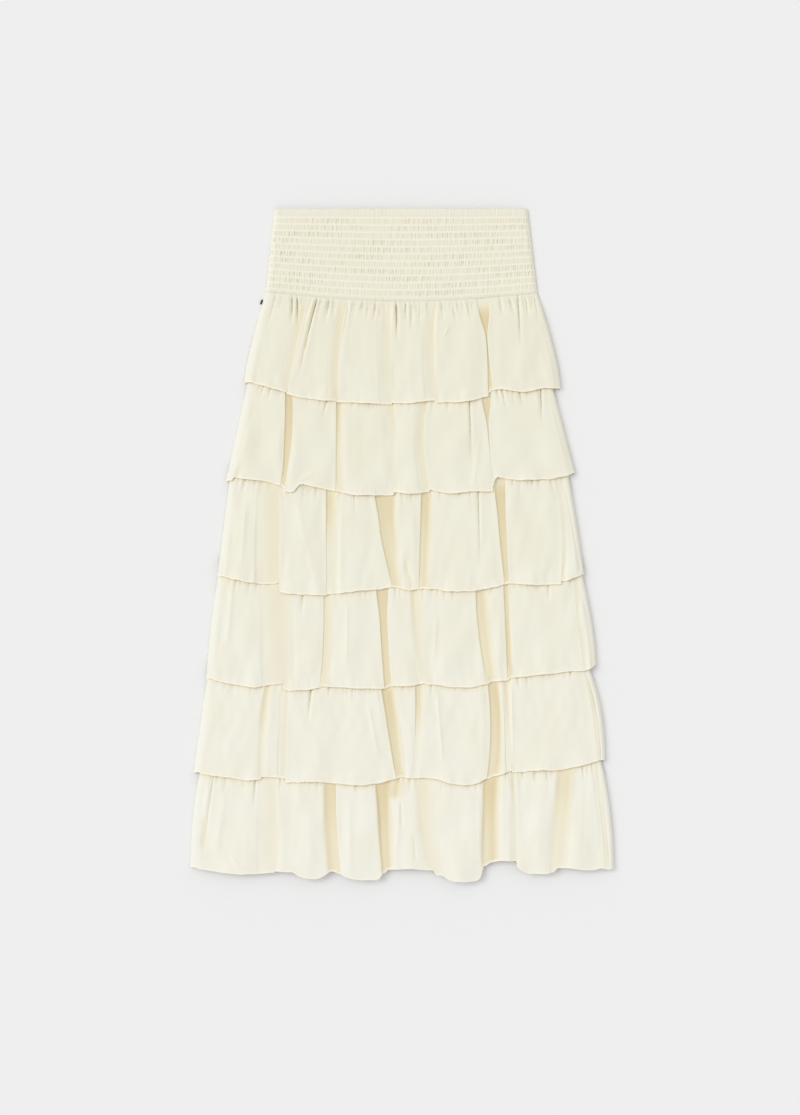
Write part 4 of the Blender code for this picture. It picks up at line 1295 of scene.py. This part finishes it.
def pucker_rows(x, lane, seed):
    """Dark ticks across each lane: how deep each point is pressed in, from 0 to about 1."""
    pressed = np.zeros_like(x)
    for number in range(-1, THREADS):
        draw = np.random.default_rng(seed + number)
        patch = 0.72 + 0.28 * np.sin(x / draw.uniform(14, 34) + draw.uniform(0, 6.28))
        if number < 0 or number >= THREADS - 1:
            patch = 0.5 * patch
        place = draw.uniform(0, PUCKER)
        ticks = np.zeros_like(x)
        while place < BAND_WIDTH:
            depth = draw.uniform(0.3, 1.0)
            ticks += depth * trough(x - place, draw.uniform(0.55, 0.95))
            place += max(CLOSEST, draw.normal(PUCKER, 0.9))
        pressed = np.where(lane == number, ticks * patch, pressed)
    return pressed


def band_relief(columns, steps, seed):
    """For each point of the band: its place, its puff, how pressed it is and its thread."""
    across = np.linspace(0, 1, columns)[None, :].repeat(len(band_rows(steps)), axis=0)
    down = band_rows(steps)[:, None].repeat(columns, axis=1)
    lane_place = (down - FIRST_THREAD) / LANE + 1e-6  # a row on a thread is in the lane below it
    lane = np.clip(np.floor(lane_place), -1, THREADS - 1)
    within = np.where(lane < 0, down / FIRST_THREAD, lane_place - lane)
    within = np.where(lane == THREADS - 1, (down - LAST_THREAD) / (1 - LAST_THREAD) * 0.6, within)
    sinks = smooth((within - SPRING) / (1 - SPRING))
    puff = smooth(within / SPRING) * mix(1.0, LEVEL_PUFF, sinks)
    puff = np.where(lane < 0, LEVEL_PUFF + 0.65 * arch(within), puff)
    foot_end = smooth((1.02 - within) / TICK_ENDS)
    window = smooth((within - 0.05) / TICK_ENDS) * foot_end
    window = np.where(lane < 0, foot_end, window)
    pressed = pucker_rows(across * BAND_WIDTH + SLANT * (within - 0.5), lane, seed) * window
    thread = np.exp(-(((within - THREAD_AT) / THREAD_WIDE) ** 2)) * (lane >= 0)
    return across, down, puff, pressed, thread


print("rows of elastic", THREADS, "and", round(LANE * 100, 1), "% of the band apart")

# %% [markdown]
# ## The two halves of the band
# The front half is puffed up over the back one and rolls down to it at the sides. Its foot comes
# down to the seam of the first ruffle. The back half lies flat, so its puffs are low and inside.

# %% Waistband
FRONT_COLUMNS, FRONT_STEPS, FRONT_BAND_SEED = 470, (0.0, 0.08, 0.16, 0.3, 0.48, 0.68, 0.86), 70
BACK_COLUMNS, BACK_STEPS, BACK_BAND_SEED = 240, (0.0, 0.3, 0.65), 170
SCALLOP = 0.9
FRILL_SEED, FRILL_LENGTHS, FRILL_HEIGHT, FRILL_AT = 9, (5, 17), 0.35, 0.04
BAND_SHELL = 0.8
BAND_ROLL = 6.0
BACK_TOP, BAND_CLEAR, ON_BACK = 1.8, 0.3, 1.4  # what the front half lies over, in mm and shells
BAND_RISE, BAND_PUFF, BAND_THICK = 1.2, 0.6, 1.8
BAND_FALL = 1.1  # the band's foot comes down to the seam of the first ruffle
TICK_DEPTH, TICK_SHADE, BAND_SHADE = 2.0, 0.22, 0.02
BACK_PUFF, BACK_TICK_DEPTH, BACK_TICK_SHADE = 0.9, 0.5, 0.4
# a painted highlight along each thread
THREAD_HIGHLIGHT = 0.5
BAND_EDGE_SHADE, HEADER_EDGE_SHADE = 9.0, 0.6  # how far painted shade, a greyer cream, reaches along its lit left side, and how much its header takes


def band_place(across, down, z, puff):
    """Points of the band, with scalloped sides and a slightly uneven top edge."""
    scallop = SCALLOP * (puff - 0.5)
    left = mix(BAND_LEFT_TOP, BAND_LEFT_BOTTOM, down) - scallop
    right = mix(BAND_RIGHT_TOP, BAND_RIGHT_BOTTOM, down) + scallop
    bottom = band_bottom(mix(BAND_LEFT_BOTTOM, BAND_RIGHT_BOTTOM, across))
    x = mix(left, right, across)
    frill = uneven(x, np.random.default_rng(FRILL_SEED), FRILL_LENGTHS, FRILL_HEIGHT)
    frill = frill * (1 - smooth(down / FRILL_AT))
    return placed(x, down * bottom + np.abs(frill), z)


def band_front():
    relief = band_relief(FRONT_COLUMNS, FRONT_STEPS, FRONT_BAND_SEED)
    across, down, puff, pressed, thread = relief
    inwards = np.minimum(across, 1 - across) * BAND_WIDTH
    risen = np.sqrt(1 - (1 - np.clip(inwards / BAND_ROLL, 0, 1)) ** 2)
    lowest = BACK_TOP + BAND_CLEAR + BAND_RISE * arch(across) ** 0.5 + BAND_SHELL / 2
    on_back = ON_BACK * BAND_SHELL + np.clip(BACK_PUFF * (1 - puff), 0, 1)
    lowest = mix(on_back, lowest, smooth(inwards / BAND_ROLL))
    fall = BAND_FALL * smooth((down - LAST_THREAD) / (1 - LAST_THREAD))
    z = lowest + risen * (BAND_THICK + BAND_PUFF * puff - TICK_DEPTH * pressed - fall)
    # painted shade in the ticks, a painted highlight on the threads, and greyer painted shade at
    # the edges
    hollow = np.clip(BAND_SHADE + TICK_SHADE * pressed, 0, 1)
    pale = EDGE_SHADE_SHARE * (1 - smooth(across * BAND_WIDTH / BAND_EDGE_SHADE))
    pale = np.maximum(pale, HEADER_EDGE_SHADE * (1 - smooth(down / FIRST_THREAD)))
    fields = (("hollow", hollow), ("painted_highlight", THREAD_HIGHLIGHT * thread), ("pale", pale))
    points = band_place(across, down, z, puff)
    return cloth_sheet("waistband_front_cloth", points, SHIRRED, fields, BAND_SHELL)


def band_back():
    relief = band_relief(BACK_COLUMNS, BACK_STEPS, BACK_BAND_SEED)
    across, down, puff, pressed, thread = relief
    z = BAND_SHELL / 2 + np.clip(BACK_PUFF * (1 - puff) + BACK_TICK_DEPTH * pressed, 0, 1)
    # painted shade in the ticks and a painted highlight on the threads
    fields = (("hollow", BACK_TICK_SHADE * pressed), ("painted_highlight", THREAD_HIGHLIGHT * thread))
    points = band_place(across, down, z, puff)
    return cloth_sheet("waistband_back_cloth", points, SHIRRED, fields, BAND_SHELL)


band_sheets = {"waistband_front": band_front(), "waistband_back": band_back()}
print("band", list(band_sheets))

# %% [markdown]
# ## The side tab
# A short black tape is folded in two and caught in the left side seam, where it slants outwards.
# Its outline seen from the side is drawn once, and spin with no angle carries it across the
# tape's width. Solidify then gives the tape its thickness.

# %% Tab
TAB_WIDE, TAB_LONG, TAB_PLY = 1.9, 5.6, 0.4
TAB_MIDDLE = (-179.8, 119.0, 0.9)  # x, drop and height over the surface
TAB_BULGE = 0.35
TAB_POINTS, TAB_STEPS = 9, 6


def tab_tape():
    """A loop of tape: two plies down its length, a little apart, joined by a round end."""
    shares = np.linspace(0, 1, TAB_POINTS)
    upper = [(TAB_LONG * (0.5 - s), TAB_PLY / 2 + TAB_BULGE * float(arch(s))) for s in shares]
    profile = [*upper, (-TAB_LONG / 2 - TAB_PLY / 2, 0.0), *((-y, -z) for y, z in upper)]
    mesh = bmesh.new()
    side = [mesh.verts.new((-TAB_WIDE / 2, y, z)) for y, z in profile]
    edges = [mesh.edges.new(pair) for pair in zip(side, side[1:])]
    bmesh.ops.spin(
        mesh,
        geom=side + edges,
        axis=(1, 0, 0),
        dvec=(TAB_WIDE / TAB_STEPS, 0, 0),
        angle=0,
        steps=TAB_STEPS,
    )
    place = Matrix.Translation(placed(*TAB_MIDDLE))
    place = place @ Matrix.Rotation(math.radians(TAB_SLANT), 4, "Z") @ Matrix.Scale(MM, 4)
    bmesh.ops.transform(mesh, matrix=place, verts=mesh.verts)
    bmesh.ops.recalc_face_normals(mesh, faces=mesh.faces)
    data = bpy.data.meshes.new("side_tab_tape")
    mesh.to_mesh(data)
    mesh.free()
    data.materials.append(TAPE)
    data.shade_smooth()
    tape = bpy.data.objects.new("side_tab_tape", data)
    bpy.context.scene.collection.objects.link(tape)
    wall = tape.modifiers.new("wall", "SOLIDIFY")
    wall.thickness = TAB_PLY * MM
    wall.offset = 0.0
    return tape


side_tab = tab_tape()

# %% [markdown]
# ## The floor, the lights and the camera
# The surface is a pale card, lit by a large, soft light from the upper left and by a bright,
# even room. The standard view keeps the cloth's colours as they are mixed.

# %% Stage
KEY_FROM, KEY_STRENGTH, KEY_ANGLE = (-1.3, 0.5, 1.35), 0.96, 36
ROOM = 0.757
FLOOR_SIZE, FLOOR_ROUGHNESS = 6, 0.9
VIEW_ACROSS = 1.427  # metres that the longer side of the view covers
LENS, SENSOR = 100, 36
VIEW_X, VIEW_Y = -0.0026, -0.0160


def sun(name, direction, strength, angle):
    light = bpy.data.lights.new(name, "SUN")
    light.energy = strength
    light.angle = math.radians(angle)
    holder = bpy.data.objects.new(name, light)
    holder.rotation_euler = (-Vector(direction)).to_track_quat("-Z", "Y").to_euler()
    bpy.context.scene.collection.objects.link(holder)


floor_mesh = bmesh.new()
bmesh.ops.create_grid(floor_mesh, x_segments=1, y_segments=1, size=FLOOR_SIZE)
floor_data = bpy.data.meshes.new("floor")
floor_mesh.to_mesh(floor_data)
floor_mesh.free()
floor = bpy.data.objects.new("floor", floor_data)
bpy.context.scene.collection.objects.link(floor)
FLOOR_PAINT, _ = new_material("pale_card", "#F2F2F2", FLOOR_ROUGHNESS, 0.0)
floor_data.materials.append(FLOOR_PAINT)

sun("key", KEY_FROM, KEY_STRENGTH, KEY_ANGLE)
world = bpy.data.worlds.new("studio")
world.use_nodes = True
room_light = world.node_tree.nodes["Background"]
room_light.inputs["Color"].default_value = (1, 1, 1, 1)
room_light.inputs["Strength"].default_value = ROOM
bpy.context.scene.world = world
bpy.context.scene.view_settings.view_transform = "Standard"

camera_data = bpy.data.cameras.new("camera")
camera_data.sensor_width = SENSOR
camera_data.lens = LENS
camera = bpy.data.objects.new("camera", camera_data)
camera.location = (VIEW_X, VIEW_Y, VIEW_ACROSS * LENS / SENSOR)
bpy.context.scene.collection.objects.link(camera)
bpy.context.scene.camera = camera
print("stage: key", KEY_STRENGTH, "room", ROOM, "view", VIEW_ACROSS, "m")

# %% [markdown]
# ## Hand over to the frame
# Every sheet rides the one body and takes the place of the solid of its own half. The ruffles
# lie as they fell, and the band is held gathered by its elastic.

# %% Ride and replace
Cut = namedtuple("Cut", "width length")  # of one half, in metres

for tier_number, tier in enumerate(TIERS):
    for sheet, half in ((front_sheets[tier.name], "front"), (back_sheets[tier_number], "back")):
        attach(sheet, "root")
        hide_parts(f"{tier.name}_{half}")
for node, sheet in band_sheets.items():
    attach(sheet, "root")
    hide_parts(node)
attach(side_tab, "root")
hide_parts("side_tab")
